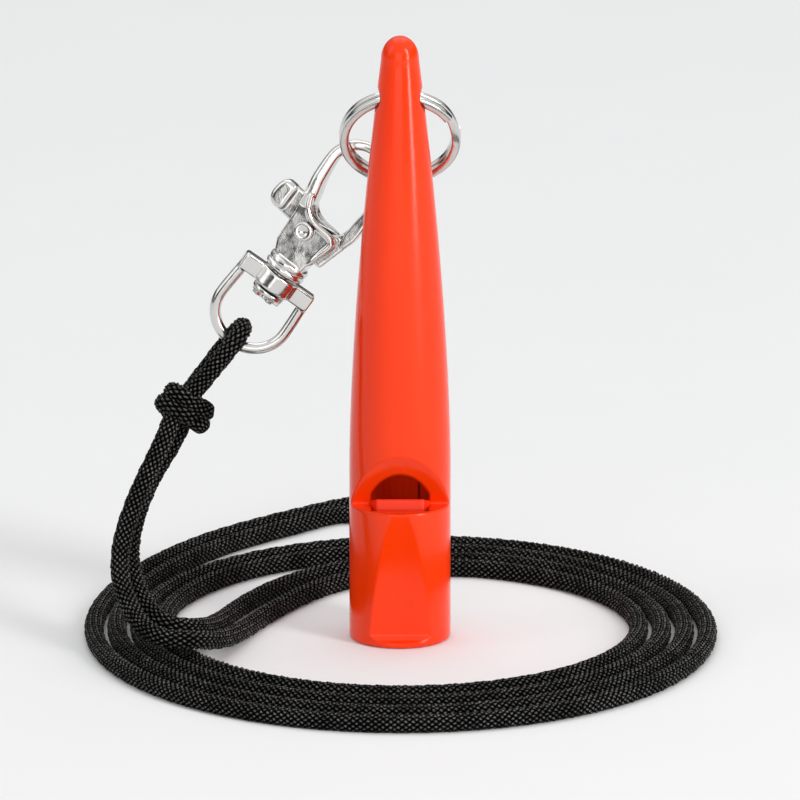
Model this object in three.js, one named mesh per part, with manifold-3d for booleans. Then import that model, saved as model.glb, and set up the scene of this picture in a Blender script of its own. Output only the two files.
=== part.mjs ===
// Dog whistle on a split ring, a swivel trigger clasp and a coiled neck cord.
// Millimetres, +Z up, X to the right and Y away from the viewer. The origin is the centre of the
// whistle's flat mouth end, which stands on the same surface as the coil.

import * as THREE from 'three';
import { mergeVertices } from 'three/addons/utils/BufferGeometryUtils.js';
import Module from 'manifold-3d';

const wasm = await Module();
wasm.setup();

// Clearances
const SEAT_GAP = 0.3; // between pieces that rest on each other
const OVERCUT = 1; // how far a cutting solid runs past the face that it cuts

// Whistle moulding
const WHISTLE_LENGTH = 82;
const BARREL_RADIUS = 6.72;
const BARREL_WALL = 1.98; // from the bore to the straight barrel
const TAPER_START = 24; // height where the straight barrel starts to taper
const TIP_DOME_HEIGHT = 3;
const TIP_RADIUS = 2.5; // where the taper meets the dome
const TAPER_POWER = 1.6; // convex taper, flat at the barrel and steepest at the tip
const END_ROUND = 0.5; // rounded edge of the mouth end
const BORE_RADIUS = BARREL_RADIUS - BARREL_WALL;
const BORE_TOP_STEP = 0.64; // how much narrower the closed end is
const BORE_TOP_RADIUS = BORE_RADIUS - BORE_TOP_STEP;
const BORE_TOP = 42; // closed end of the sound chamber
const BORE_END_RISE = 2; // domed end of the chamber

// Window and windway
const LEDGE_HEIGHT = 18.5; // top of the wall in front of the windway
const WINDOW_TOP = 26.4; // where the slanted lip meets the barrel
const WINDOW_SLOPE = 1.55; // fall of the slanted lip for each mm of depth
const LEDGE_ROUND = 0.5;
const WINDWAY_HALF_WIDTH = 3.8;
const WINDWAY_HEIGHT = 1.24;
const WINDWAY_TOP = 21;
const BLOCK_HALF_WIDTH = 3.2;
const BLOCK_TOP = 19.75; // at its front edge
const BLOCK_SLOPE = 0.4; // fall of its top towards the back, for each mm of depth

// Bite facets on the front and the back of the mouthpiece
const FACET_START_DEPTH = 0.07;
const FACET_END_DEPTH = 1.37;
const FACET_FOOT = 2.4; // height where the facet curves out to the lip
const BITE_LIP = 1.1; // height of the full round lip at the mouth end

// Cross hole for the ring
const HOLE_HEIGHT = 73.5;
const HOLE_RADIUS = 1.68;

// Split ring of two flat turns of wire
const RING_RADIUS = 7.4; // centre line
const RING_WIRE_WIDTH = 1.25; // across the ring, in its plane
const RING_WIRE_THICK = 0.88; // along the ring's axis
const RING_TURN_GAP = 0.12;
const RING_TILT = THREE.MathUtils.degToRad(30); // leans back past the whistle
const RING_TURNS = 1.94;
const RING_STEP_ARC = THREE.MathUtils.degToRad(50); // arc in which the wire crosses to the other turn
const RING_STEP_AT = THREE.MathUtils.degToRad(20);

// Clasp placement: a point on its swivel axis, level with the rivet
const CLASP_PLACE = new THREE.Vector3(-11.68, 6.37, 53.55);
const CLASP_LEAN = THREE.MathUtils.degToRad(35.7); // its axis from the vertical, to the right
const CLASP_YAW = THREE.MathUtils.degToRad(-17.6); // turn about its own axis

// Clasp: X across, Y in depth, Z along the swivel axis, with its origin at CLASP_PLACE
const RIVET_OFFSET = -0.6; // the rivet stands left of the swivel axis
const RIVET_RADIUS = 0.6;
const RIVET_HEAD_RADIUS = 1.28;
const RIVET_HEAD_THICK = 0.45;
const RIVET_DIMPLE_RADIUS = 0.62;
const RIVET_DIMPLE_DEPTH = 0.2;
const HOUSING_THICK = 4.4;
const CHEEK_THICK = 0.9;
const HOUSING_FOOT = -4.75;
const SLOT_FLOOR = -3.6;
const SLOT_HALF = HOUSING_THICK / 2 - CHEEK_THICK;
const ARM_ROOT = 4.6; // where the two cheeks join into the arm
const HOOK_CENTRE = new THREE.Vector2(0.33, 9.9); // centre of the arch
const HOOK_RADIUS = 4.08; // centre line of the arch
const ARM_WIDTH = 1.35;
const ARM_THICK = 1.1;
const GATE_REACH = 9.2; // from the rivet to the gate's end
const LEVER_THICK = 1.0;
const CHEEK_RUNNING_GAP = 0.3; // between the lever and the front cheek

const LEVER_MIDDLE = -SLOT_HALF + CHEEK_RUNNING_GAP + LEVER_THICK / 2;
const SPRING_BEHIND_LEVER = 0.39; // from the lever's back to the centre of the spring's first turn

// Swivel
const COLLAR_RADIUS = 2.9;
const COLLAR_THICK = 1.75;
const COLLAR_GROOVE = 0.2;
const POST_RADIUS = 1.3;
const EYE_BAR_HALF_LENGTH = 5.5;
const EYE_BAR_HEIGHT = 2.45;
const EYE_BAR_THICK = 2.2;
const EYE_BOSS_RADIUS = 2.85;
const EYE_WIRE_RADIUS = 0.75;
const EYE_HALF_WIDTH = 5.08; // centre line of the bow at its widest
const EYE_LENGTH = 11.4; // from the bar's top to the bow's centre line at its end
const EYE_BOW_HEIGHT = 4.8;
const STAKE_RADIUS = 2.35;
const STAKE_TEETH = 5;
const STAKE_THICK = 1.3;

// Torsion spring on the rivet
const SPRING_WIRE_RADIUS = 0.14;
const SPRING_RADIUS = 1.25;
const SPRING_TURNS = 1.3;
const SPRING_PITCH = 0.46; // rise in depth over all its turns
const SPRING_FROM = 200; // degrees where its first leg leaves the coil
const SPRING_LEG = 2.9;
const SPRING_DEPTH = LEVER_MIDDLE + LEVER_THICK / 2 + SPRING_BEHIND_LEVER;

// Cord
const CORD_DIAMETER = 2.5;
const CORD_RADIUS = CORD_DIAMETER / 2;
const CORD_FLAT = CORD_DIAMETER / 10; // flat side where it lies on the surface
const CORD_LIE = CORD_RADIUS - CORD_FLAT; // height of its centre line there

// Coil: both strands wind side by side, clockwise from above, and join in a bight at the far end
const COIL_CENTRE = new THREE.Vector2(1.6, 1.5);
const COIL_START = new THREE.Vector2(28.6, 28.9); // half width and half depth of the inner strand
const COIL_PITCH = new THREE.Vector2(3.03, 4.24); // from a strand to its neighbour, across and in depth
const COIL_DRIFT = 0.44; // how far the centre comes forward from a strand to the next
const COIL_FROM = 14; // degrees past the back where the coil begins
const COIL_TO = 712; // degrees where the far bight begins
const COIL_FLARE_FROM = 630;
const COIL_FLARE = new THREE.Vector2(12.9, 12.5); // how far the two strands' ends swing out, inner then outer
const COIL_STEPS_PER_TURN = 24;
const COIL_SIDES = 6;
const BIGHT_STEPS = 8;

// Knot
const KNOT_CENTRE = new THREE.Vector3(-29.1, 4.6, 30.4);
const KNOT_HALF_SIZE = new THREE.Vector3(3.3, 2.9, 2.7);
const KNOT_LEAN = THREE.MathUtils.degToRad(30);
const TAIL_LENGTH = 4.9;
const KNOT_TAILS = [[0.96, -0.25, -0.12], [0.72, -0.3, -0.62]]; // the ways that the two tails point

// The two stretches of cord from the knot down over the coil to its back, chosen by hand
const RISE_LEFT_ROUTE = [
  [-30.0, 3.2, 29.4], [-31.7, 2.2, 25.4], [-34.0, 0.6, 21.0], [-36.1, -1.9, 16.2], [-37.1, -4.8, 12.2],
  [-36.8, -7.9, 9.2], [-35.5, -11.3, 6.8], [-33.6, -14.6, 5.1], [-30.9, -17.3, 4.4], [-27.3, -16.9, 4.2],
  [-24.4, -12.0, 2.8], [-21.8, -4.8, 1.6], [-19.3, 2.8, CORD_LIE], [-16.5, 9.5, CORD_LIE],
  [-12.3, 17.3, CORD_LIE], [-6.6, 24.0, CORD_LIE], [0.9, 28.4, CORD_LIE],
];
const RISE_RIGHT_ROUTE = [
  [-28.4, 6.0, 28.8], [-30.3, 5.5, 24.8], [-32.7, 4.1, 21.2], [-34.9, 1.9, 16.4], [-35.8, -0.8, 12.4],
  [-35.4, -4.2, 9.6], [-34.2, -7.3, 7.2], [-32.3, -9.9, 5.2], [-29.8, -10.9, 4.3], [-27.2, -8.4, 3.5],
  [-25.4, -2.6, 2.0], [-23.2, 5.2, CORD_LIE], [-20.2, 12.8, CORD_LIE], [-15.8, 20.8, CORD_LIE],
  [-8.4, 28.6, CORD_LIE], [0.6, 32.4, CORD_LIE],
];

// Colours read by eye from the object
const FINISHES = {
  plastic: { color: 0xf2421f, roughness: 0.28, metalness: 0 },
  plasticInside: { color: 0xd93a1c, roughness: 0.4, metalness: 0 },
  nickel: { color: 0xc9c8c4, roughness: 0.2, metalness: 1 },
  springSteel: { color: 0x9b9c9e, roughness: 0.35, metalness: 1 },
  cord: { color: 0x161618, roughness: 0.85, metalness: 0 },
};

// Turns a closed geometry into a solid that can be joined and cut
function solidOf(geometry, matrix = new THREE.Matrix4()) {
  const bare = geometry.clone();
  for (const name of Object.keys(bare.attributes)) {
    if (name !== 'position') bare.deleteAttribute(name);
  }
  const merged = mergeVertices(bare.applyMatrix4(matrix), 1e-5);
  return new wasm.Manifold(
    new wasm.Mesh({
      numProp: 3,
      vertProperties: new Float32Array(merged.attributes.position.array),
      triVerts: new Uint32Array(merged.index.array),
    }),
  );
}

// Turns a solid back into a geometry with flat faces
function geometryOf(solid) {
  const mesh = solid.getMesh();
  const geometry = new THREE.BufferGeometry();
  geometry.setAttribute('position', new THREE.BufferAttribute(new Float32Array(mesh.vertProperties), 3));
  geometry.setIndex(new THREE.BufferAttribute(new Uint32Array(mesh.triVerts), 1));
  geometry.computeVertexNormals();
  return geometry;
}

function namedMesh(name, solid, finish) {
  const mesh = new THREE.Mesh(geometryOf(solid), new THREE.MeshStandardMaterial(FINISHES[finish]));
  mesh.name = name;
  return mesh;
}

function joined(solids) {
  return solids.reduce((all, one) => all.add(one));
}

function placed(x, y, z, turn = new THREE.Euler()) {
  return new THREE.Matrix4().compose(
    new THREE.Vector3(x, y, z),
    new THREE.Quaternion().setFromEuler(turn),
    new THREE.Vector3(1, 1, 1),
  );
}

// A solid of revolution about Z. The profile is [radius, height] from the bottom up, and closes on the axis.
function turned(profile, segments, matrix) {
  const lathe = new THREE.LatheGeometry(profile.map(([r, h]) => new THREE.Vector2(r, h)), segments);
  return solidOf(lathe, (matrix ?? new THREE.Matrix4()).multiply(placed(0, 0, 0, new THREE.Euler(Math.PI / 2, 0, 0))));
}

function disc(radius, bottom, top, segments, matrix) {
  return turned([[0, bottom], [radius, bottom], [radius, top], [0, top]], segments, matrix);
}

// An outline in X and Z, made solid in depth about Y = middle
function plate(outline, thick, middle = 0, bevel = 0) {
  const shape = outline instanceof THREE.Shape ? outline : new THREE.Shape(outline.map(([x, z]) => new THREE.Vector2(x, z)));
  const geometry = new THREE.ExtrudeGeometry(shape, {
    depth: thick - 2 * bevel,
    curveSegments: 8,
    bevelEnabled: bevel > 0,
    bevelThickness: bevel,
    bevelSize: bevel,
    bevelOffset: -bevel,
    bevelSegments: 1,
  });
  geometry.translate(0, 0, -(thick - 2 * bevel) / 2);
  return solidOf(geometry, placed(0, middle, 0, new THREE.Euler(Math.PI / 2, 0, 0)));
}

// An outline in Y and Z, made solid across X
function prismAcross(outline, width) {
  const shape = new THREE.Shape(outline.map(([y, z]) => new THREE.Vector2(y, z)));
  const geometry = new THREE.ExtrudeGeometry(shape, { depth: width, curveSegments: 8, bevelEnabled: false });
  geometry.translate(0, 0, -width / 2);
  const axes = new THREE.Matrix4().makeBasis(
    new THREE.Vector3(0, 1, 0),
    new THREE.Vector3(0, 0, 1),
    new THREE.Vector3(1, 0, 0),
  );
  return solidOf(geometry, axes);
}

function box(x0, x1, y0, y1, z0, z1) {
  return solidOf(new THREE.BoxGeometry(x1 - x0, y1 - y0, z1 - z0), placed((x0 + x1) / 2, (y0 + y1) / 2, (z0 + z1) / 2));
}

// Points of an arc in a plane, from one angle to another in degrees
function arc(cx, cy, rx, ry, from, to, steps) {
  return Array.from({ length: steps + 1 }, (_, i) => {
    const angle = THREE.MathUtils.degToRad(from + ((to - from) * i) / steps);
    return [cx + rx * Math.cos(angle), cy + ry * Math.sin(angle)];
  });
}

function ellipseShape(halfWidth, halfHeight, sides) {
  return new THREE.Shape(arc(0, 0, halfWidth, halfHeight, 180 / sides, 360 + 180 / sides, sides)
    .slice(0, sides)
    .map(([x, y]) => new THREE.Vector2(x, y)));
}

// A tube of constant section along a curve
function extrudedAlong(curve, section, steps) {
  return solidOf(new THREE.ExtrudeGeometry(section, { steps, extrudePath: curve, bevelEnabled: false }));
}

// One unbroken closed tube through rings of points: each frame gives a centre and two directions
function sweptSolid(frames, section) {
  const positions = [];
  const index = [];
  const sides = section.length;
  for (const { centre, across, up } of frames) {
    for (const [a, b] of section) {
      positions.push(
        centre.x + across.x * a + up.x * b,
        centre.y + across.y * a + up.y * b,
        centre.z + across.z * a + up.z * b,
      );
    }
  }
  for (let i = 0; i + 1 < frames.length; i += 1) {
    for (let k = 0; k < sides; k += 1) {
      const next = (k + 1) % sides;
      const [a, b, c, d] = [i * sides + k, i * sides + next, (i + 1) * sides + next, (i + 1) * sides + k];
      index.push(a, b, c, a, c, d);
    }
  }
  const last = (frames.length - 1) * sides;
  for (let k = 1; k + 1 < sides; k += 1) {
    index.push(0, k + 1, k, last, last + k, last + k + 1);
  }
  const geometry = new THREE.BufferGeometry();
  geometry.setAttribute('position', new THREE.BufferAttribute(new Float32Array(positions), 3));
  geometry.setIndex(index);
  const solid = solidOf(geometry);
  if (solid.volume() > 0) return solid;
  geometry.setIndex(index.map((_, i) => index[i - (i % 3) + (2 - (i % 3))]));
  return solidOf(geometry);
}

// Barrel radius at a height, from the straight barrel to the foot of the tip's dome
const TAPER_LENGTH = WHISTLE_LENGTH - TIP_DOME_HEIGHT - TAPER_START;
function barrelRadius(height) {
  const share = THREE.MathUtils.clamp((height - TAPER_START) / TAPER_LENGTH, 0, 1);
  return BARREL_RADIUS - (BARREL_RADIUS - TIP_RADIUS) * share ** TAPER_POWER;
}

function whistleOutside() {
  const taperSteps = 14;
  const domeFoot = WHISTLE_LENGTH - TIP_DOME_HEIGHT;
  const profile = [
    [0, 0],
    ...arc(BARREL_RADIUS - END_ROUND, END_ROUND, END_ROUND, END_ROUND, -90, 0, 3),
  ];
  for (let i = 0; i <= taperSteps; i += 1) {
    const height = TAPER_START + (TAPER_LENGTH * i) / taperSteps;
    profile.push([barrelRadius(height), height]);
  }
  const dome = arc(0, domeFoot, TIP_RADIUS, TIP_DOME_HEIGHT, 0, 90, 6).slice(1, -1);
  return turned([...profile, ...dome, [0, WHISTLE_LENGTH]], 48);
}

// Sound chamber, with the flat-sided windway channel cut into its front
function whistleHollow() {
  const end = arc(0, BORE_TOP - BORE_END_RISE, BORE_TOP_RADIUS, BORE_END_RISE, 0, 90, 4).slice(0, -1);
  const chamber = turned(
    [[0, -OVERCUT], [BORE_RADIUS, -OVERCUT], [BORE_RADIUS, WINDOW_TOP], ...end, [0, BORE_TOP]],
    40,
  );
  const channel = box(-WINDWAY_HALF_WIDTH, WINDWAY_HALF_WIDTH, -BORE_RADIUS, 0, -OVERCUT, WINDWAY_TOP);
  return chamber.add(channel);
}

// The window: a slanted lip above and a flat ledge below, with a small round where they meet
function windowCut() {
  const slant = (y) => WINDOW_TOP - WINDOW_SLOPE * (y + BARREL_RADIUS);
  const front = -BARREL_RADIUS - OVERCUT;
  const cornerY = -BARREL_RADIUS + (WINDOW_TOP - LEDGE_HEIGHT) / WINDOW_SLOPE;
  const outline = [
    [front, LEDGE_HEIGHT],
    [cornerY - 2 * LEDGE_ROUND, LEDGE_HEIGHT],
    [cornerY - LEDGE_ROUND, LEDGE_HEIGHT + 0.3 * LEDGE_ROUND],
    [cornerY - 0.6 * LEDGE_ROUND, slant(cornerY - 0.6 * LEDGE_ROUND)],
    [front, slant(front)],
  ];
  return prismAcross(outline, 2 * BARREL_RADIUS + 2 * OVERCUT);
}

// One bite facet: a sloping flat that curves out again to the full round lip
function facetCut(side) {
  const start = BARREL_RADIUS - FACET_START_DEPTH;
  const foot = BARREL_RADIUS - FACET_END_DEPTH;
  const out = BARREL_RADIUS + OVERCUT;
  const sweep = arc(BARREL_RADIUS, FACET_FOOT, FACET_END_DEPTH, FACET_FOOT - BITE_LIP, 180, 270, 4);
  const outline = [[out, LEDGE_HEIGHT], [start, LEDGE_HEIGHT], [foot, FACET_FOOT + 0.01], ...sweep, [out, BITE_LIP]];
  return prismAcross(outline.map(([y, z]) => [side * y, z]), 2 * BARREL_RADIUS + 2 * OVERCUT);
}

function makeWhistleBody() {
  const turnToX = new THREE.Euler(0, Math.PI / 2, 0);
  const crossHole = disc(HOLE_RADIUS, -BARREL_RADIUS, BARREL_RADIUS, 28, placed(0, 0, HOLE_HEIGHT, turnToX));
  const cuts = [whistleHollow(), windowCut(), facetCut(-1), facetCut(1), crossHole];
  return namedMesh('whistle_body', whistleOutside().subtract(joined(cuts)), 'plastic');
}

// The fipple block: a plug in the mouth end whose flat front forms the windway
function makeFippleBlock() {
  const radius = BORE_RADIUS - SEAT_GAP;
  const flat = -BORE_RADIUS + WINDWAY_HEIGHT;
  const plug = disc(radius, 0, BLOCK_TOP, 36);
  const tongue = box(-BLOCK_HALF_WIDTH, BLOCK_HALF_WIDTH, flat, 0, 0, BLOCK_TOP);
  const front = box(-BARREL_RADIUS, BARREL_RADIUS, -BARREL_RADIUS, flat, -OVERCUT, BLOCK_TOP + OVERCUT);
  const slope = prismAcross([
    [flat, BLOCK_TOP], [BORE_RADIUS, BLOCK_TOP - BLOCK_SLOPE * (BORE_RADIUS - flat)], [BORE_RADIUS, BLOCK_TOP + OVERCUT],
    [flat, BLOCK_TOP + OVERCUT],
  ], 2 * BARREL_RADIUS);
  return namedMesh('fipple_block', plug.add(tongue).subtract(front.add(slope)), 'plasticInside');
}

// Distance from the cross hole to the ring's centre, so that the ring's arc lies evenly in the hole
const HOLE_HALF_LENGTH = barrelRadius(HOLE_HEIGHT);
const RING_SAG = RING_RADIUS - Math.sqrt(RING_RADIUS ** 2 - HOLE_HALF_LENGTH ** 2);
const RING_DROP = RING_RADIUS - RING_SAG / 2;

// Two flat turns of wire, wound as one piece: it crosses from the front turn to the back one in a short arc
function makeSplitRing() {
  const turnPitch = RING_WIRE_THICK + RING_TURN_GAP;
  const steps = Math.round(32 * RING_TURNS);
  const total = RING_TURNS * 2 * Math.PI;
  const half = [RING_WIRE_WIDTH / 2, RING_WIRE_THICK / 2];
  const corner = 0.22;
  const section = [
    [half[0] - corner, -half[1]], [half[0], -half[1] + corner], [half[0], half[1] - corner], [half[0] - corner, half[1]],
    [-half[0] + corner, half[1]], [-half[0], half[1] - corner], [-half[0], -half[1] + corner], [-half[0] + corner, -half[1]],
  ];
  const middle = total / 2;
  const frames = Array.from({ length: steps + 1 }, (_, i) => {
    const turn = (total * i) / steps;
    const crossing = THREE.MathUtils.smoothstep(turn, middle - RING_STEP_ARC / 2, middle + RING_STEP_ARC / 2);
    const angle = RING_STEP_AT + turn - middle;
    const outward = new THREE.Vector3(Math.cos(angle), 0, Math.sin(angle));
    const axial = new THREE.Vector3(0, 1, 0);
    return {
      centre: outward.clone().multiplyScalar(RING_RADIUS).addScaledVector(axial, (crossing - 0.5) * turnPitch),
      across: outward,
      up: axial,
    };
  });
  const mesh = namedMesh('split_ring', sweptSolid(frames, section), 'nickel');
  const group = new THREE.Group();
  group.position.set(0, RING_DROP * Math.sin(RING_TILT), HOLE_HEIGHT - RING_DROP * Math.cos(RING_TILT));
  group.rotation.set(RING_TILT, 0, 0);
  group.add(mesh);
  return group;
}

// Housing of the clasp: two cheeks with a slot between them for the lever, solid at the foot and at the arm's root
function housing() {
  const shape = new THREE.Shape();
  shape.moveTo(2.2, HOUSING_FOOT);
  shape.lineTo(2.4, SLOT_FLOOR);
  shape.lineTo(3.72, 1.1);
  shape.quadraticCurveTo(3.9, 1.8, 3.2, 1.8);
  shape.lineTo(-0.2, 1.85);
  shape.quadraticCurveTo(-1.7, 2.3, -2.35, 3.9);
  shape.lineTo(-3.0, 6.6);
  shape.lineTo(-4.05, 6.8);
  shape.lineTo(-3.85, ARM_ROOT);
  shape.lineTo(-3.3, 1.5);
  shape.lineTo(-3.05, -2.9);
  shape.lineTo(-2.2, HOUSING_FOOT);
  const block = plate(shape, HOUSING_THICK);
  const side = HOUSING_THICK / 2;
  const top = ARM_THICK / 2;
  const depthProfile = [
    [-side, HOUSING_FOOT - OVERCUT], [side, HOUSING_FOOT - OVERCUT], [side, 2.6], [0.62 * side, ARM_ROOT],
    [top, 7], [-top, 7], [-0.62 * side, ARM_ROOT], [-side, 2.6],
  ];
  const slot = box(-2 * COLLAR_RADIUS, 2 * COLLAR_RADIUS, -SLOT_HALF, SLOT_HALF, SLOT_FLOOR, ARM_ROOT - 0.1);
  return block.intersect(prismAcross(depthProfile, 4 * COLLAR_RADIUS)).subtract(slot);
}

// The hook's arm and arch, ending in a nose that is cut concentric with the rivet so that the gate swings past it
function hookArm() {
  const left = HOOK_CENTRE.x - HOOK_RADIUS;
  const points = [[-3.15, 4.9], [-3.45, 6.4]];
  points.push(...arc(HOOK_CENTRE.x, HOOK_CENTRE.y, HOOK_RADIUS, HOOK_RADIUS, 185, -10, 16));
  points.push([HOOK_CENTRE.x + HOOK_RADIUS - 0.15, 7.8], [HOOK_CENTRE.x + HOOK_RADIUS - 0.35, 6.6]);
  const curve = new THREE.CatmullRomCurve3(points.map(([x, z]) => new THREE.Vector3(x, 0, z)));
  const arm = extrudedAlong(curve, ellipseShape(ARM_THICK / 2, ARM_WIDTH / 2, 10), 36);
  const swing = disc(
    GATE_REACH + SEAT_GAP, -HOUSING_THICK, HOUSING_THICK, 72,
    placed(RIVET_OFFSET, 0, 0, new THREE.Euler(Math.PI / 2, 0, 0)),
  );
  const noseSide = box(HOOK_CENTRE.x, HOOK_CENTRE.x - 2 * left, -HOUSING_THICK, HOUSING_THICK, 0, HOOK_CENTRE.y + HOOK_RADIUS);
  return arm.subtract(swing.intersect(noseSide));
}

// Collar, swivel post and its staked, toothed end
const COLLAR_BOTTOM = HOUSING_FOOT - COLLAR_THICK;
const EYE_TOP = COLLAR_BOTTOM - SEAT_GAP;
const EYE_BAR_BOTTOM = EYE_TOP - EYE_BAR_HEIGHT;
const STAKE_TOP = EYE_BAR_BOTTOM - SEAT_GAP;
function swivelPost() {
  const grooveTop = HOUSING_FOOT - 0.45 * COLLAR_THICK;
  const grooveRadius = COLLAR_RADIUS - COLLAR_GROOVE;
  const body = turned([
    [0, STAKE_TOP - STAKE_THICK], [POST_RADIUS, STAKE_TOP - STAKE_THICK], [POST_RADIUS, COLLAR_BOTTOM],
    [grooveRadius, COLLAR_BOTTOM], [COLLAR_RADIUS, COLLAR_BOTTOM + 0.25], [COLLAR_RADIUS, grooveTop - COLLAR_GROOVE],
    [grooveRadius, grooveTop - COLLAR_GROOVE], [grooveRadius, grooveTop], [COLLAR_RADIUS, grooveTop],
    [COLLAR_RADIUS, HOUSING_FOOT], [0, HOUSING_FOOT + 0.05],
  ], 32);
  const washer = disc(STAKE_RADIUS, STAKE_TOP - 0.45 * STAKE_THICK, STAKE_TOP, 28);
  const teeth = Array.from({ length: STAKE_TEETH }, (_, i) => {
    const turn = new THREE.Euler(0, 0, (2 * Math.PI * i) / STAKE_TEETH + 0.3);
    const tooth = solidOf(
      new THREE.BoxGeometry(1.0, 0.9, 0.75 * STAKE_THICK),
      placed(0, 0, 0, turn).multiply(placed(STAKE_RADIUS - 0.75, 0, STAKE_TOP - 0.6 * STAKE_THICK)),
    );
    return tooth;
  });
  return joined([body, washer, ...teeth]);
}

function makeHookFrame() {
  const rivetHole = disc(
    RIVET_RADIUS + SEAT_GAP, -HOUSING_THICK, HOUSING_THICK, 20,
    placed(RIVET_OFFSET, 0, 0, new THREE.Euler(Math.PI / 2, 0, 0)),
  );
  const frame = joined([housing(), hookArm(), swivelPost()]).subtract(rivetHole);
  return namedMesh('hook_frame', frame, 'nickel');
}

// The trigger lever: thumb tab on the left, hub on the rivet, and the gate that closes the hook on the right
function makeTriggerLever() {
  const shape = new THREE.Shape();
  const x = RIVET_OFFSET;
  shape.moveTo(x - 1.6, -1.3);
  shape.lineTo(x - 2.2, -0.35);
  shape.lineTo(x - 5.3, -0.05);
  shape.quadraticCurveTo(x - 6.9, 0.1, x - 6.87, 1.8);
  shape.quadraticCurveTo(x - 6.8, 4.1, x - 5.5, 4.1);
  shape.lineTo(x - 2.7, 3.85);
  shape.lineTo(x - 1.3, 1.75);
  shape.lineTo(x + 2.6, 1.5);
  shape.quadraticCurveTo(x + 4.0, 2.0, x + 4.3, 3.2);
  shape.lineTo(x + 4.55, 5.2);
  const tip = arc(x, 0, GATE_REACH, GATE_REACH, 59.4, 50.2, 4);
  for (const [px, pz] of tip) shape.lineTo(px, pz);
  shape.lineTo(x + 6.15, 4.4);
  shape.quadraticCurveTo(x + 6.2, 2.9, x + 5.7, 1.8);
  shape.lineTo(x + 4.35, -2.9);
  shape.lineTo(x + 3.4, -2.9);
  shape.lineTo(x + 1.2, -1.5);
  const body = plate(shape, LEVER_THICK, LEVER_MIDDLE, 0.18);
  const hole = disc(
    RIVET_RADIUS + SEAT_GAP, -HOUSING_THICK, HOUSING_THICK, 20,
    placed(x, 0, 0, new THREE.Euler(Math.PI / 2, 0, 0)),
  );
  return namedMesh('trigger_lever', body.subtract(hole), 'nickel');
}

// The return spring: one and a quarter turns round the rivet behind the lever, with a leg on the slot's floor
// and a leg under the lever
function makeLeverSpring() {
  const steps = Math.round(24 * SPRING_TURNS);
  const from = THREE.MathUtils.degToRad(SPRING_FROM);
  const points = Array.from({ length: steps + 1 }, (_, i) => {
    const angle = from - (2 * Math.PI * SPRING_TURNS * i) / steps;
    const depth = SPRING_DEPTH + (SPRING_PITCH * i) / steps;
    return new THREE.Vector3(RIVET_OFFSET + SPRING_RADIUS * Math.cos(angle), depth, SPRING_RADIUS * Math.sin(angle));
  });
  const leg = (end, next, length) => end.clone().addScaledVector(end.clone().sub(next).normalize(), length);
  points.unshift(leg(points[0], points[1], SPRING_LEG));
  points.push(leg(points[points.length - 1], points[points.length - 2], SPRING_LEG));
  const frames = points.map((centre, i) => {
    const along = points[Math.min(points.length - 1, i + 1)].clone().sub(points[Math.max(0, i - 1)]).normalize();
    const up = new THREE.Vector3(0, 1, 0).addScaledVector(along, -along.y).normalize();
    return { centre, across: along.clone().cross(up), up };
  });
  const section = arc(0, 0, SPRING_WIRE_RADIUS, SPRING_WIRE_RADIUS, 0, 360, 5).slice(0, 5);
  return namedMesh('lever_spring', sweptSolid(frames, section), 'springSteel');
}

function makeLeverRivet() {
  const inner = HOUSING_THICK / 2 + SEAT_GAP;
  const outer = inner + RIVET_HEAD_THICK;
  const profile = [
    [0, -outer + RIVET_DIMPLE_DEPTH], [RIVET_DIMPLE_RADIUS, -outer + RIVET_DIMPLE_DEPTH], [RIVET_DIMPLE_RADIUS, -outer],
    [RIVET_HEAD_RADIUS - 0.15, -outer], [RIVET_HEAD_RADIUS, -outer + 0.15], [RIVET_HEAD_RADIUS, -inner],
    [RIVET_RADIUS, -inner], [RIVET_RADIUS, inner],
    [RIVET_HEAD_RADIUS, inner], [RIVET_HEAD_RADIUS, outer - 0.15], [RIVET_HEAD_RADIUS - 0.15, outer],
    [RIVET_DIMPLE_RADIUS, outer], [RIVET_DIMPLE_RADIUS, outer - RIVET_DIMPLE_DEPTH], [0, outer - RIVET_DIMPLE_DEPTH],
  ];
  const rivet = turned(profile, 24, placed(RIVET_OFFSET, 0, 0, new THREE.Euler(Math.PI / 2, 0, 0)));
  return namedMesh('lever_rivet', rivet, 'nickel');
}

// The eye of the swivel: a bar with a bored boss, and a round bow below it
function makeSwivelEye() {
  const barMiddle = (EYE_TOP + EYE_BAR_BOTTOM) / 2;
  const bar = plate(
    [
      [-EYE_BAR_HALF_LENGTH, EYE_TOP], [-EYE_BAR_HALF_LENGTH, EYE_BAR_BOTTOM],
      [EYE_BAR_HALF_LENGTH, EYE_BAR_BOTTOM], [EYE_BAR_HALF_LENGTH, EYE_TOP],
    ],
    EYE_BAR_THICK, 0, 0.2,
  );
  const boss = disc(EYE_BOSS_RADIUS, EYE_BAR_BOTTOM, EYE_TOP, 32);
  const bowEnd = EYE_TOP - EYE_LENGTH;
  const legTop = EYE_BAR_HALF_LENGTH - EYE_WIRE_RADIUS;
  const bowTop = bowEnd + EYE_BOW_HEIGHT;
  const bow = arc(0, bowTop, EYE_HALF_WIDTH, EYE_BOW_HEIGHT, 180, 360, 14);
  const points = [[-legTop, barMiddle], ...bow, [legTop, barMiddle]];
  const curve = new THREE.CatmullRomCurve3(points.map(([x, z]) => new THREE.Vector3(x, 0, z)));
  const wire = extrudedAlong(curve, ellipseShape(EYE_WIRE_RADIUS, EYE_WIRE_RADIUS, 10), 34);
  const bore = disc(POST_RADIUS + SEAT_GAP, EYE_BAR_BOTTOM - OVERCUT, EYE_TOP + OVERCUT, 28);
  return namedMesh('swivel_eye', joined([bar, boss, wire]).subtract(bore), 'nickel');
}

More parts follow.
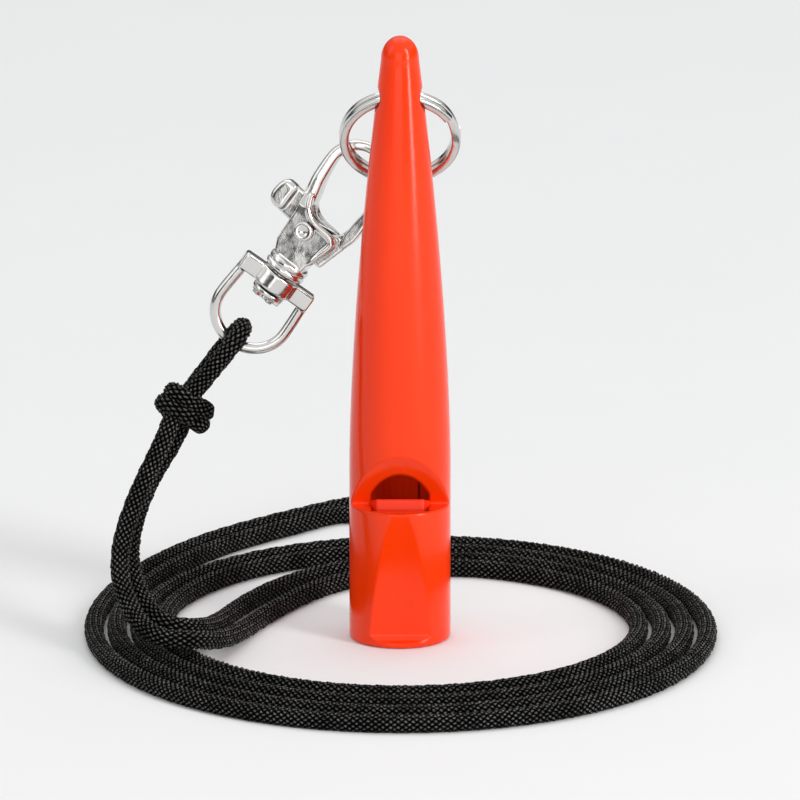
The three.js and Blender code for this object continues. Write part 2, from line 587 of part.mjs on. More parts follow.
// Places pieces made about the clasp's own axis
function onClasp(meshes, yaw) {
  const group = new THREE.Group();
  group.position.copy(CLASP_PLACE);
  group.rotation.set(0, CLASP_LEAN, yaw, 'YXZ');
  group.add(...meshes);
  return group;
}

// A free stretch of cord through hand-chosen points, flat where it lies on the surface
function cordTube(points, steps, sides = 8) {
  const curve = new THREE.CatmullRomCurve3(points.map((p) => new THREE.Vector3(...p)), false, 'centripetal');
  const section = ellipseShape(CORD_RADIUS, CORD_RADIUS, sides);
  return flattened(extrudedAlong(curve, section, steps));
}

function flattened(solid) {
  const reach = 200;
  return solid.subtract(box(-reach, reach, -reach, reach, -reach, 0));
}

// A point of the coil's inner (0) or outer (1) strand, at an angle in degrees clockwise from the back
function coilPoint(strand, degrees) {
  const angle = THREE.MathUtils.degToRad(degrees);
  const turns = degrees / 360;
  const halfWidth = COIL_START.x + COIL_PITCH.x * (2 * turns + strand);
  const halfDepth = COIL_START.y + COIL_PITCH.y * (2 * turns + strand);
  const swing = Math.max(0, (degrees - COIL_FLARE_FROM) / (COIL_TO - COIL_FLARE_FROM));
  const flare = (strand ? COIL_FLARE.y : COIL_FLARE.x) * swing;
  return new THREE.Vector3(
    COIL_CENTRE.x + halfWidth * Math.sin(angle),
    COIL_CENTRE.y - COIL_DRIFT * (2 * turns + strand) + (halfDepth + flare) * Math.cos(angle),
    CORD_LIE,
  );
}

// The coil's centre line: out along the inner strand, round the far bight, and back along the outer strand
function coilRoute() {
  const steps = Math.round(((COIL_TO - COIL_FROM) / 360) * COIL_STEPS_PER_TURN);
  const strandPoints = (strand) => Array.from(
    { length: steps + 1 },
    (_, i) => coilPoint(strand, COIL_FROM + ((COIL_TO - COIL_FROM) * i) / steps),
  );
  const inner = strandPoints(0);
  const outer = strandPoints(1).reverse();
  const from = inner[inner.length - 1];
  const to = outer[0];
  const middle = from.clone().add(to).multiplyScalar(0.5);
  const across = from.clone().sub(middle);
  const ahead = new THREE.Vector3(-across.y, across.x, 0);
  const bight = Array.from({ length: BIGHT_STEPS - 1 }, (_, i) => {
    const angle = (Math.PI * (i + 1)) / BIGHT_STEPS;
    return middle.clone().addScaledVector(across, Math.cos(angle)).addScaledVector(ahead, Math.sin(angle));
  });
  return [...inner, ...bight, ...outer];
}

// Least gap between stretches of a centre line that aren't neighbours along it, less the cord's diameter
function leastGap(route) {
  let least = Infinity;
  const along = [0];
  for (let i = 1; i < route.length; i += 1) along.push(along[i - 1] + route[i].distanceTo(route[i - 1]));
  for (let i = 0; i < route.length; i += 1) {
    for (let k = i + 1; k + 1 < route.length; k += 1) {
      if (along[k] - along[i] < 3 * Math.PI * CORD_RADIUS) continue;
      const stretch = new THREE.Line3(route[k], route[k + 1]);
      const near = stretch.closestPointToPoint(route[i], true, new THREE.Vector3());
      least = Math.min(least, near.distanceTo(route[i]));
    }
  }
  return least - CORD_DIAMETER;
}

function makeCoil() {
  const route = coilRoute();
  const frames = route.map((centre, i) => {
    const before = route[Math.max(0, i - 1)];
    const after = route[Math.min(route.length - 1, i + 1)];
    const along = after.clone().sub(before).normalize();
    const up = new THREE.Vector3(0, 0, 1);
    return { centre, across: along.cross(up).normalize(), up };
  });
  const section = arc(0, 0, CORD_RADIUS, CORD_RADIUS, 0, 360, COIL_SIDES).slice(0, COIL_SIDES);
  console.log(`coil: least gap to itself ${leastGap(route).toFixed(2)} mm`);
  return namedMesh('cord_coil', flattened(sweptSolid(frames, section)), 'cord');
}

// The overhand knot as one rounded body with the cord's two short tails, or the room that it takes with a margin
function knotSolid(margin = 0) {
  const body = solidOf(
    new THREE.SphereGeometry(1, 20, 14),
    placed(KNOT_CENTRE.x, KNOT_CENTRE.y, KNOT_CENTRE.z, new THREE.Euler(0, KNOT_LEAN, 0))
      .scale(KNOT_HALF_SIZE.clone().addScalar(margin)),
  );
  const tails = KNOT_TAILS.map(([x, y, z]) => {
    const direction = new THREE.Vector3(x, y, z).normalize();
    const start = KNOT_CENTRE.clone().addScaledVector(direction, CORD_RADIUS);
    const end = KNOT_CENTRE.clone().addScaledVector(direction, TAIL_LENGTH + margin);
    return extrudedAlong(
      new THREE.LineCurve3(start, end),
      ellipseShape(CORD_RADIUS + margin, CORD_RADIUS + margin, 8),
      2,
    );
  });
  return joined([body, ...tails]);
}

function makeKnot() {
  return namedMesh('cord_knot', knotSolid(), 'cord');
}

// The loop of cord over the eye's bow: up in front of the wire, over it and down behind it
function makeCordLoop(eyeWire, alongClasp) {
  const reach = EYE_WIRE_RADIUS + SEAT_GAP + CORD_RADIUS;
  const leg = (side, share, spread) => KNOT_CENTRE.clone()
    .lerp(eyeWire, share)
    .addScaledVector(new THREE.Vector3(0, side, 0), spread);
  const over = arc(0, 0, reach, reach, 180, 0, 8).map(([y, t]) => eyeWire.clone()
    .addScaledVector(new THREE.Vector3(0, 1, 0), y)
    .addScaledVector(alongClasp, t));
  const inKnot = CORD_RADIUS + SEAT_GAP / 2;
  const points = [
    leg(-1, 0.1, inKnot), leg(-1, 0.5, inKnot + 0.3), leg(-1, 0.75, reach - 0.2),
    ...over,
    leg(1, 0.75, reach - 0.2), leg(1, 0.5, inKnot + 0.3), leg(1, 0.1, inKnot),
  ];
  const tube = cordTube(points.map((p) => p.toArray()), 26);
  return namedMesh('cord_loop', tube.subtract(knotSolid(SEAT_GAP)), 'cord');
}

// A stretch from the knot over the coil's side to the start of the coil
function makeRise(name, route, strand) {
  const join = coilPoint(strand, COIL_FROM);
  const ahead = coilPoint(strand, COIL_FROM + 360 / COIL_STEPS_PER_TURN).sub(join).normalize();
  const end = join.clone().addScaledVector(ahead, -SEAT_GAP);
  const straight = end.clone().addScaledVector(ahead, -CORD_DIAMETER);
  const tube = cordTube([...route, straight.toArray(), end.toArray()], 44);
  return namedMesh(name, tube.subtract(knotSolid(SEAT_GAP)), 'cord');
}

const whistle = new THREE.Group();
whistle.add(makeWhistleBody(), makeFippleBlock());

const clasp = onClasp([makeHookFrame(), makeTriggerLever(), makeLeverRivet(), makeLeverSpring()], CLASP_YAW);
const eye = onClasp([makeSwivelEye()], 0);

const alongClasp = new THREE.Vector3(Math.sin(CLASP_LEAN), 0, Math.cos(CLASP_LEAN));
const eyeWire = CLASP_PLACE.clone().addScaledVector(alongClasp, EYE_TOP - EYE_LENGTH);

const cord = new THREE.Group();
cord.add(
  makeCordLoop(eyeWire, alongClasp),
  makeKnot(),
  makeRise('cord_rise_left', RISE_LEFT_ROUTE, 0),
  makeRise('cord_rise_right', RISE_RIGHT_ROUTE, 1),
  makeCoil(),
);

const dogWhistle = new THREE.Group();
dogWhistle.add(whistle, makeSplitRing(), clasp, eye, cord);

export default dogWhistle;
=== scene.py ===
"""Dresses the dog whistle, its split ring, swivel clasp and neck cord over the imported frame.

Pieces are modelled in millimetres and put in place in metres, in the frame's own axes: +Z up, +X to
the right and +Y away from the camera, with the origin in the middle of the whistle's mouth end.
"""

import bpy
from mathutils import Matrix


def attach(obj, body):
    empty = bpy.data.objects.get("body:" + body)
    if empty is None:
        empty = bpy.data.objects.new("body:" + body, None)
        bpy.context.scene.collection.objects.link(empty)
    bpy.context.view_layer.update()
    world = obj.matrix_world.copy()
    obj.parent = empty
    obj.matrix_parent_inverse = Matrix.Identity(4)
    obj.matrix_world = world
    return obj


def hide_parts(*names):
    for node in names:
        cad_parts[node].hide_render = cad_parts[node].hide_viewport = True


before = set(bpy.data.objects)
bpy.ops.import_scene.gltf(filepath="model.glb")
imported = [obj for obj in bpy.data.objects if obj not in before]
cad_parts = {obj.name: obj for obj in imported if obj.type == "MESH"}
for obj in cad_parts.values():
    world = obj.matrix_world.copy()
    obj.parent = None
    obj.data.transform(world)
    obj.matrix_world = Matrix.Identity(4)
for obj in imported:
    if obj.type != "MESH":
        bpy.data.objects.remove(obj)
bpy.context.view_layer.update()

import logging
import math
from dataclasses import dataclass, field
from enum import Enum

import bmesh
import bpy
import numpy as np
from mathutils import Matrix, Vector

Pair = tuple[float, float]
Point = tuple[float, float, float]
Piece = bpy.types.Object
Material = bpy.types.Material
Socket = bpy.types.NodeSocket

log = logging.getLogger("dog_whistle")
MILLIMETRE = 0.001
# How far a cutting solid reaches past the face that it cuts, in millimetres
PAST = 1


class Body(Enum):
    """The bodies of the frame that the pieces ride on."""

    CORD = "cord"
    EYE = "swivel_eye"
    HOOK = "hook"
    LEVER = "lever"
    RING = "ring"
    WHISTLE = "whistle"


class Cut(Enum):
    """Ways to combine two solids."""

    TAKE_AWAY = "DIFFERENCE"
    FUSE = "UNION"
    KEEP_COMMON = "INTERSECT"


# Finishes


class NodeSheet:
    """Adds and links the shader nodes of one material, so that a finish reads as a formula."""

    def __init__(self, name: str) -> None:
        """Starts a node material with one principled shader.

        Args:
            name: The material's name.
        """
        self.material = bpy.data.materials.new(name)
        self.material.use_nodes = True
        self.tree = self.material.node_tree
        self.shader = self.tree.nodes["Principled BSDF"]

    def add(self, kind: str, **settings: object) -> bpy.types.Node:
        """Adds a node.

        Args:
            kind: Its type.
            settings: Its properties.

        Returns:
            The node.
        """
        node = self.tree.nodes.new(kind)
        for key, value in settings.items():
            setattr(node, key, value)
        return node

    def feed(self, socket: Socket, value: object) -> None:
        """Links a socket to another one, or gives it a constant.

        Args:
            socket: The socket to feed.
            value: Another socket, or the constant.
        """
        if isinstance(value, Socket):
            self.tree.links.new(value, socket)
        else:
            socket.default_value = value

    def math(self, operation: str, *values: object) -> Socket:
        """Adds a math node.

        Args:
            operation: The math node's operation.
            values: Its inputs, each a number or a socket.

        Returns:
            The result's socket.
        """
        node = self.add("ShaderNodeMath", operation=operation)
        for socket, value in zip(node.inputs, values):
            self.feed(socket, value)
        return node.outputs[0]

    def noise(self, scale: float, detail: float = 3.0, stretch: Point = (1, 1, 1)) -> Socket:
        """Noise over the object, from 0 to 1.

        Args:
            scale: Waves for each metre.
            detail: Octaves of finer noise.
            stretch: Factors on the three axes.

        Returns:
            The noise's socket.
        """
        place = self.add("ShaderNodeTexCoord")
        mapping = self.add("ShaderNodeMapping")
        mapping.inputs["Scale"].default_value = stretch
        self.feed(mapping.inputs["Vector"], place.outputs["Object"])
        node = self.add("ShaderNodeTexNoise")
        node.inputs["Scale"].default_value = scale
        node.inputs["Detail"].default_value = detail
        self.feed(node.inputs["Vector"], mapping.outputs[0])
        return node.outputs["Fac"]

    def spread(self, value: Socket, low: float, high: float, start: float = 0.3,
               end: float = 0.7) -> Socket:
        """Maps a value from start..end onto low..high, and no further.

        Args:
            value: The value's socket.
            low: The result at the start.
            high: The result at the end.
            start: The value where the result is low.
            end: The value where the result is high.

        Returns:
            The result's socket.
        """
        node = self.add("ShaderNodeMapRange")
        for key, number in (("From Min", start), ("From Max", end), ("To Min", low), ("To Max", high)):
            node.inputs[key].default_value = number
        self.feed(node.inputs["Value"], value)
        return node.outputs["Result"]

    def grain(self, scales: Pair, fine_share: float) -> Socket:
        """Noise at the first scale with a share of finer noise at the second."""
        return self.math("MULTIPLY_ADD", self.noise(scales[1], 2), fine_share, self.noise(scales[0], 3))

    def between(self, factor: Socket, low: Point | Socket, high: Point | Socket) -> Socket:
        """Mixes two colours.

        Args:
            factor: 0 for the first colour and 1 for the second.
            low: The first colour, or its socket.
            high: The second colour, or its socket.

        Returns:
            The mixed colour's socket.
        """
        node = self.add("ShaderNodeMix", data_type="RGBA")
        self.feed(node.inputs["Factor"], factor)
        ends = [socket for socket in node.inputs if socket.type == "RGBA"]
        for socket, colour in zip(ends, (low, high)):
            self.feed(socket, colour if isinstance(colour, Socket) else (*colour, 1))
        return next(socket for socket in node.outputs if socket.type == "RGBA")

    def edges(self) -> Socket:
        """How far the surface stands out (above 0.5) or lies in a hollow (below 0.5)."""
        return self.add("ShaderNodeNewGeometry").outputs["Pointiness"]

    def bump(self, height: Socket, depth_mm: float, round_mm: float = 0) -> None:
        """Feeds a height to the shader's normal.

        Args:
            height: Height from 0 to 1.
            depth_mm: Depth of the relief in millimetres.
            round_mm: Radius that softens the edges.
        """
        node = self.add("ShaderNodeBump")
        if round_mm:
            edge = self.add("ShaderNodeBevel", samples=12)
            edge.inputs["Radius"].default_value = round_mm * MILLIMETRE
            self.feed(node.inputs["Normal"], edge.outputs[0])
        node.inputs["Distance"].default_value = depth_mm * MILLIMETRE
        node.inputs["Strength"].default_value = 1
        self.feed(node.inputs["Height"], height)
        self.feed(self.shader.inputs["Normal"], node.outputs["Normal"])

    def set(self, **constants: object) -> None:
        """Sets constants on the shader's own sockets, with underscores for spaces."""
        for key, value in constants.items():
            self.shader.inputs[key.replace("_", " ")].default_value = value

    def colour(self, value: object) -> None:
        """Feeds the shader's base colour."""
        self.feed(self.shader.inputs["Base Color"], value)

    def roughness(self, value: object) -> None:
        """Feeds the shader's roughness."""
        self.feed(self.shader.inputs["Roughness"], value)


@dataclass(frozen=True)
class PlasticFinish:
    """Moulded coloured plastic with a polished skin, faint flow clouds and paler worn edges.

    Scales count the waves in a metre, and gloss is the roughness where it is least and most.
    """

    name: str
    bright: Point
    deep: Point
    worn: Point
    gloss: Pair
    refraction: float = 1.36
    cloud_scale: float = 120
    gloss_scale: float = 260
    wear_scale: float = 900
    grain_scales: Pair = (700, 6000)
    fine_share: float = 0.18
    relief_mm: float = 0.012
    edge_radius_mm: float = 0.5

    def make(self) -> Material:
        """Builds the material.

        Returns:
            The material.
        """
        sheet = NodeSheet(self.name)
        clouds = sheet.spread(sheet.noise(self.cloud_scale, 4, (1, 1, 0.4)), 0, 1)
        body = sheet.between(clouds, self.bright, self.deep)
        rubbed = sheet.spread(sheet.edges(), 0, 0.35, 0.53, 0.6)
        wear = sheet.math("MULTIPLY", rubbed, sheet.noise(self.wear_scale, 5))
        sheet.colour(sheet.between(wear, body, self.worn))
        sheet.roughness(sheet.spread(sheet.noise(self.gloss_scale, 5, (1, 1, 0.3)), *self.gloss))
        sheet.bump(sheet.grain(self.grain_scales, self.fine_share), self.relief_mm, self.edge_radius_mm)
        sheet.set(IOR=self.refraction)
        return sheet.material


@dataclass(frozen=True)
class NickelFinish:
    """Bright nickel plate: cast and tumbled on the clasp, drawn on the ring's wire.
    Random darker patches and painted shade in each hollow share one darker colour.

    Scales count the waves in a metre, and grain stretches the noise along the three axes.
    """

    name: str
    plate: Point = (0.69, 0.682, 0.66)
    # darker colour of the random patches, also painted shade where the surface lies in a hollow
    dull_and_hollow_shade: Point = (0.1, 0.097, 0.092)
    gloss: Pair = (0.08, 0.22)
    relief_mm: float = 0.06
    grain: Point = (1, 1, 1)
    patch_scale: float = 420
    patch_share: float = 0.08
    hollow_shade_share: float = 0.9
    gloss_scale: float = 900
    dent_scale: float = 270
    grain_scales: Pair = (1500, 5200)
    fine_share: float = 0.35
    grain_share: float = 0.14

    def make(self) -> Material:
        """Builds the material.

        Returns:
            The material.
        """
        sheet = NodeSheet(self.name)
        patches = sheet.spread(sheet.noise(self.patch_scale, 6, self.grain), 0, self.patch_share, 0.35, 0.72)
        # painted shade: the surface takes the darker colour where it lies in a hollow
        hollow_shade = sheet.spread(sheet.edges(), self.hollow_shade_share, 0, 0.4, 0.485)
        sheet.colour(sheet.between(sheet.math("MAXIMUM", hollow_shade, patches), self.plate, self.dull_and_hollow_shade))
        sheet.roughness(sheet.spread(sheet.noise(self.gloss_scale, 5, self.grain), *self.gloss))
        grains = sheet.grain(self.grain_scales, self.fine_share)
        dents = sheet.noise(self.dent_scale, 1, self.grain)
        sheet.bump(sheet.math("MULTIPLY_ADD", grains, self.grain_share, dents), self.relief_mm)
        sheet.set(Metallic=1.0, Anisotropic=0.15)
        return sheet.material


@dataclass(frozen=True)
class BraidFinish:
    """Black braided cord: yarns cross over and under, with fine filaments along the yarns.
    Its colour is painted light: a highlight on the crests and filaments, and shade in the gaps.

    The U of the map runs once round the cord and its V counts the braid's picks along it.
    """

    name: str
    carriers: int
    # painted highlight colour of the crests, then the painted shade colour of the gaps
    crest_highlight: Point = (0.225, 0.22, 0.21)
    gap_shade: Point = (0.0002, 0.0002, 0.0002)
    filaments: int = 4
    filament_share: float = 0.16
    fuzz_scale: float = 5200
    fuzz_share: float = 0.25
    wear_scale: float = 330
    contrast: float = 3.9
    relief_mm: float = 0.32

    def make(self) -> Material:
        """Builds the material.

        Returns:
            The material.
        """
        sheet = NodeSheet(self.name)
        split = sheet.add("ShaderNodeSeparateXYZ")
        sheet.feed(split.inputs[0], sheet.add("ShaderNodeTexCoord").outputs["UV"])
        around = sheet.math("MULTIPLY", split.outputs["X"], float(self.carriers))
        right = sheet.math("ADD", around, split.outputs["Y"])
        left = sheet.math("SUBTRACT", around, split.outputs["Y"])
        cells = sheet.math("ADD", sheet.math("FLOOR", right), sheet.math("FLOOR", left))
        on_top = sheet.math("ABSOLUTE", sheet.math("MODULO", cells, 2.0))
        right_share = sheet.math("FRACT", right)
        left_share = sheet.math("FRACT", left)
        across = self.pick(sheet, on_top, right_share, left_share)
        along = self.pick(sheet, on_top, left_share, right_share)
        crown = self.arch(sheet, across)
        dive = sheet.math("POWER", self.arch(sheet, along), 0.5)
        height = sheet.math("MULTIPLY", crown, dive)
        threads = self.arch(sheet, sheet.math("FRACT", sheet.math("MULTIPLY", across, float(self.filaments))))
        fuzz = sheet.noise(self.fuzz_scale, 4)
        ridges = sheet.math("MULTIPLY_ADD", threads, self.filament_share, height)
        crests = sheet.math("POWER", height, self.contrast)
        lit = sheet.math("MULTIPLY", crests, sheet.spread(fuzz, 0.05, 1.8))
        # random wear, times painted sheen that lightens the crown of each filament
        worn = sheet.math("MULTIPLY", sheet.spread(sheet.noise(self.wear_scale, 2), 0.6, 1.4),
                          sheet.spread(threads, 0.3, 1, 0, 1))
        # painted highlight on the crests and filaments, painted shade in the gaps between them
        sheet.colour(sheet.between(sheet.math("MULTIPLY", lit, worn), self.gap_shade, self.crest_highlight))
        sheet.roughness(sheet.spread(threads, 0.44, 0.28, 0, 1))
        sheet.bump(sheet.math("MULTIPLY_ADD", fuzz, self.fuzz_share, ridges), self.relief_mm)
        sheet.set(Specular_IOR_Level=0.02)
        return sheet.material

    @staticmethod
    def pick(sheet: NodeSheet, choice: Socket, first: Socket, second: Socket) -> Socket:
        """Gives the first value where the choice is 0 and the second where it is 1."""
        rest = sheet.math("SUBTRACT", second, first)
        return sheet.math("MULTIPLY_ADD", choice, rest, first)

    @staticmethod
    def arch(sheet: NodeSheet, share: Socket) -> Socket:
        """Rises from 0 to 1 and falls back to 0 as the share goes from 0 to 1."""
        return sheet.math("SINE", sheet.math("MULTIPLY", share, math.pi))


@dataclass(frozen=True)
class PaperFinish:
    """Matt pale paper of the studio's floor."""

    name: str = "studio_paper"
    colour: Point = (0.85, 0.855, 0.86)

    def make(self) -> Material:
        """Builds the material.

        Returns:
            The material.
        """
        sheet = NodeSheet(self.name)
        lighter = tuple(min(1.0, part * 1.02) for part in self.colour)
        sheet.colour(sheet.between(sheet.noise(40, 2), self.colour, lighter))
        sheet.set(Roughness=0.75, Specular_IOR_Level=0.2)
        return sheet.material


# Modelling steps


class Bench:
    """Modelling steps. Every size is in millimetres until a piece is seated."""

    @staticmethod
    def take(piece: Piece) -> None:
        """Makes a piece the only selected and active object.

        Args:
            piece: The piece.
        """
        bpy.ops.object.select_all(action="DESELECT")
        piece.select_set(True)
        bpy.context.view_layer.objects.active = piece

    @staticmethod
    def edit(piece: Piece) -> None:
        """Opens a piece in edit mode with everything selected.

        Args:
            piece: The piece.
        """
        Bench.take(piece)
        bpy.ops.object.mode_set(mode="EDIT")
        bpy.ops.mesh.select_all(action="SELECT")

    @staticmethod
    def close() -> None:
        """Leaves edit mode with the normals facing out."""
        bpy.ops.mesh.select_all(action="SELECT")
        bpy.ops.mesh.normals_make_consistent(inside=False)
        bpy.ops.object.mode_set(mode="OBJECT")

    @staticmethod
    def outline(points: list[Pair], filled: bool) -> Piece:
        """Adds a ring of points in X and Z.

        Args:
            points: The outline's points.
            filled: Whether the ring gets a face.

        Returns:
            The new object.
        """
        bpy.ops.object.select_all(action="DESELECT")
        fill = "NGON" if filled else "NOTHING"
        bpy.ops.mesh.primitive_circle_add(vertices=len(points), radius=1, fill_type=fill)
        piece = bpy.context.object
        for vertex, (x, z) in zip(piece.data.vertices, points):
            vertex.co = (x, 0, z)
        return piece

    @staticmethod
    def plate(points: list[Pair], thick: float, middle: float = 0) -> Piece:
        """An outline in X and Z made solid in depth.

        Args:
            points: The outline's points.
            thick: Its thickness along Y.
            middle: Where the middle of its thickness lies.

        Returns:
            The solid.
        """
        piece = Bench.outline(points, True)
        Bench.edit(piece)
        bpy.ops.transform.translate(value=(0, middle - thick / 2, 0))
        bpy.ops.mesh.extrude_region_move(TRANSFORM_OT_translate={"value": (0, thick, 0)})
        Bench.close()
        return piece

    @staticmethod
    def across(points: list[Pair], width: float) -> Piece:
        """An outline in Y and Z made solid across X, in equal parts to both sides.

        Args:
            points: The outline's points.
            width: Its width along X.

        Returns:
            The solid.
        """
        piece = Bench.plate(points, width)
        for vertex in piece.data.vertices:
            vertex.co = (-vertex.co.y, vertex.co.x, vertex.co.z)
        Bench.edit(piece)
        Bench.close()
        return piece

    @staticmethod
    def turned(profile: list[Pair], steps: int) -> Piece:
        """Spins a closed profile of [radius, height] about Z.

        Args:
            profile: The profile's points, which may start and end on the axis.
            steps: Steps in the full turn.

        Returns:
            The solid.
        """
        piece = Bench.outline(profile, False)
        on_axis = {i for i, (radius, _) in enumerate(profile) if radius == 0}
        mesh = bmesh.new()
        mesh.from_mesh(piece.data)
        mesh.verts.ensure_lookup_table()
        axis_edges = [edge for edge in mesh.edges if all(vertex.index in on_axis for vertex in edge.verts)]
        bmesh.ops.delete(mesh, geom=axis_edges, context="EDGES_FACES")
        mesh.to_mesh(piece.data)
        mesh.free()
        Bench.edit(piece)
        bpy.ops.mesh.spin(steps=steps, angle=2 * math.pi, center=(0, 0, 0), axis=(0, 0, 1))
        bpy.ops.mesh.select_all(action="SELECT")
        bpy.ops.mesh.remove_doubles(threshold=1e-4)
        Bench.close()
        return piece

    @staticmethod
    def box(low: Point, high: Point) -> Piece:
        """A block between two corners.

        Args:
            low: The corner with the least coordinates.
            high: The corner with the greatest.

        Returns:
            The block.
        """
        bpy.ops.object.select_all(action="DESELECT")
        centre = [(a + b) / 2 for a, b in zip(low, high)]
        bpy.ops.mesh.primitive_cube_add(size=1, location=centre, scale=[b - a for a, b in zip(low, high)])
        piece = bpy.context.object
        bpy.ops.object.transform_apply(location=True, rotation=True, scale=True)
        return piece

    @staticmethod
    def rod(radius: float, length: float, place: Point, lie: str, sides: int = 64) -> Piece:
        """A round bar about a point.

        Args:
            radius: Its radius.
            length: Its length.
            place: Its middle.
            lie: The axis that it lies along, X, Y or Z.
            sides: Sides of its section.

        Returns:
            The bar.
        """
        turn = {"X": (0, math.pi / 2, 0), "Y": (math.pi / 2, 0, 0), "Z": (0, 0, 0)}[lie]
        bpy.ops.object.select_all(action="DESELECT")
        bpy.ops.mesh.primitive_cylinder_add(vertices=sides, radius=radius, depth=length, location=place,
                                            rotation=turn)
        piece = bpy.context.object
        bpy.ops.object.transform_apply(location=True, rotation=True, scale=True)
        return piece

    @staticmethod
    def modify(piece: Piece, kind: str, **settings: object) -> None:
        """Adds a modifier and applies it.

        Args:
            piece: The piece.
            kind: The modifier's type.
            settings: The modifier's properties.
        """
        Bench.take(piece)
        modifier = piece.modifiers.new(kind.lower(), kind)
        for key, value in settings.items():
            setattr(modifier, key, value)
        bpy.ops.object.modifier_apply(modifier=modifier.name)

    @staticmethod
    def combine(piece: Piece, tool: Piece, how: Cut = Cut.TAKE_AWAY) -> None:
        """Combines a piece with a tool, which is used up."""
        Bench.modify(piece, "BOOLEAN", object=tool, operation=how.value, solver="EXACT")
        bpy.data.objects.remove(tool, do_unlink=True)

    @staticmethod
    def soften(piece: Piece, width: float, steps: int = 3, sharper_than: float = 30) -> None:
        """Rounds the edges sharper than an angle in degrees."""
        Bench.modify(piece, "BEVEL", width=width, segments=steps, limit_method="ANGLE",
                     angle_limit=math.radians(sharper_than), use_clamp_overlap=True)

    @staticmethod
    def cast(parts: list[Piece], cell: float, passes: int) -> Piece:
        """Fuses overlapping parts into one casting with small fillets.

        Args:
            parts: Closed parts that overlap.
            cell: Size of the cells that the casting is rebuilt from.
            passes: Smoothing passes.

        Returns:
            The casting.
        """
        bpy.ops.object.select_all(action="DESELECT")
        for part in parts:
            part.select_set(True)
        bpy.context.view_layer.objects.active = parts[0]
        if len(parts) > 1:
            bpy.ops.object.join()
        piece = bpy.context.view_layer.objects.active
        Bench.modify(piece, "REMESH", mode="VOXEL", voxel_size=cell, adaptivity=0)
        Bench.modify(piece, "SMOOTH", factor=0.5, iterations=passes)
        return piece

    @staticmethod
    def seat(piece: Piece, name: str, place: Matrix, finish: Material, slot: str,
             body: Body, stands_for: list[str], smooth: float = 40) -> Piece:
        """Puts a finished piece in the frame, gives it its finish and joins it to its body.

        Args:
            piece: The modelled piece in millimetres, with its object at the origin.
            name: The piece's name.
            place: From the piece's own axes to the frame's, in millimetres.
            finish: Its material.
            slot: Not used.
            body: The body that it rides on.
            stands_for: The frame's nodes that it replaces.
            smooth: Edges flatter than this angle in degrees are shaded smooth.

        Returns:
            The piece.
        """
        piece.data.transform(Matrix.Scale(MILLIMETRE, 4) @ place)
        piece.data.update()
        piece.name = name
        piece.data.name = name
        piece.data.materials.clear()
        piece.data.materials.append(finish)
        Bench.take(piece)
        bpy.ops.object.shade_smooth_by_angle(angle=math.radians(smooth))
        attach(piece, body.value)
        if stands_for:
            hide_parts(*stands_for)
        log.info("%s: %d faces on %s", name, len(piece.data.polygons), body.value)
        return piece


@dataclass
class Outline:
    """A flat outline drawn with straight and curved strokes."""

    points: list[Pair] = field(default_factory=list)

    def line(self, *stops: Pair) -> "Outline":
        """Straight strokes to each stop."""
        self.points.extend(stops)
        return self

    def bend(self, pull: Pair, stop: Pair, steps: int = 8) -> "Outline":
        """One curved stroke from the last point.

        Args:
            pull: The point that the stroke is pulled towards.
            stop: The point where it ends.
            steps: Steps along it.

        Returns:
            This outline.
        """
        start = self.points[-1]
        for i in range(1, steps + 1):
            t = i / steps
            self.points.append(tuple((1 - t) ** 2 * a + 2 * t * (1 - t) * b + t * t * c
                                     for a, b, c in zip(start, pull, stop)))
        return self


def arc(centre: Pair, radii: Pair, start: float, end: float, steps: int) -> list[Pair]:
    """Points of an arc between two angles.

    Args:
        centre: The arc's centre.
        radii: Its radii along the two axes.
        start: The angle of the first point, in degrees.
        end: The angle of the last point, in degrees.
        steps: Steps between them.

    Returns:
        The points.
    """
    angles = [math.radians(start + (end - start) * i / steps) for i in range(steps + 1)]
    return [(centre[0] + radii[0] * math.cos(a), centre[1] + radii[1] * math.sin(a)) for a in angles]


# Curves and tubes


def smooth_route(points: list[Point], step: float, passes: int = 0) -> np.ndarray:
    """A smooth line through given points, with points at even steps.

    Args:
        points: The points that the line passes through.
        step: Length of a step along the line in millimetres.
        passes: Passes that even out its curvature.

    Returns:
        One row for each step.
    """
    knots = np.array(points, float)
    padded = np.vstack([2 * knots[0] - knots[1], knots, 2 * knots[-1] - knots[-2]])
    fine = []
    for before, start, end, after in zip(padded[:-3], padded[1:-2], padded[2:-1], padded[3:]):
        spans = ((before, start), (start, end), (end, after))
        times = np.cumsum([0, *(np.linalg.norm(b - a) ** 0.5 for a, b in spans)])
        for t in np.linspace(times[1], times[2], 24, endpoint=False):
            fine.append(curve_point((before, start, end, after), times, t))
    fine.append(knots[-1])
    line = even_steps(np.array(fine), step)
    for _ in range(passes):
        line[1:-1] = (line[:-2] + 2 * line[1:-1] + line[2:]) / 4
    return even_steps(line, step) if passes else line


def curve_point(corners: tuple[np.ndarray, ...], times: np.ndarray, t: float) -> np.ndarray:
    """A point of the smooth curve through four corners, between the middle two.

    Args:
        corners: The four corners.
        times: The time at which the curve passes each corner.
        t: The point's time.

    Returns:
        The point.
    """
    layer = list(corners)
    for level in (1, 2, 3):
        layer = [
            ((times[i + level] - t) * layer[i] + (t - times[i]) * layer[i + 1])
            / (times[i + level] - times[i])
            for i in range(len(layer) - 1)
        ]
    return layer[0]


def even_steps(line: np.ndarray, step: float) -> np.ndarray:
    """The same line with its points at even steps.

    Args:
        line: The line's points.
        step: The length of a step, which is rounded so that whole steps fill the line.

    Returns:
        The new points.
    """
    lengths = np.concatenate([[0], np.cumsum(np.linalg.norm(np.diff(line, axis=0), axis=1))])
    count = max(2, round(lengths[-1] / step) + 1)
    places = np.linspace(0, lengths[-1], count)
    return np.column_stack([np.interp(places, lengths, line[:, axis]) for axis in range(3)])


def line_length(line: np.ndarray) -> float:
    """Length along a line's points."""
    return float(np.linalg.norm(np.diff(line, axis=0), axis=1).sum())


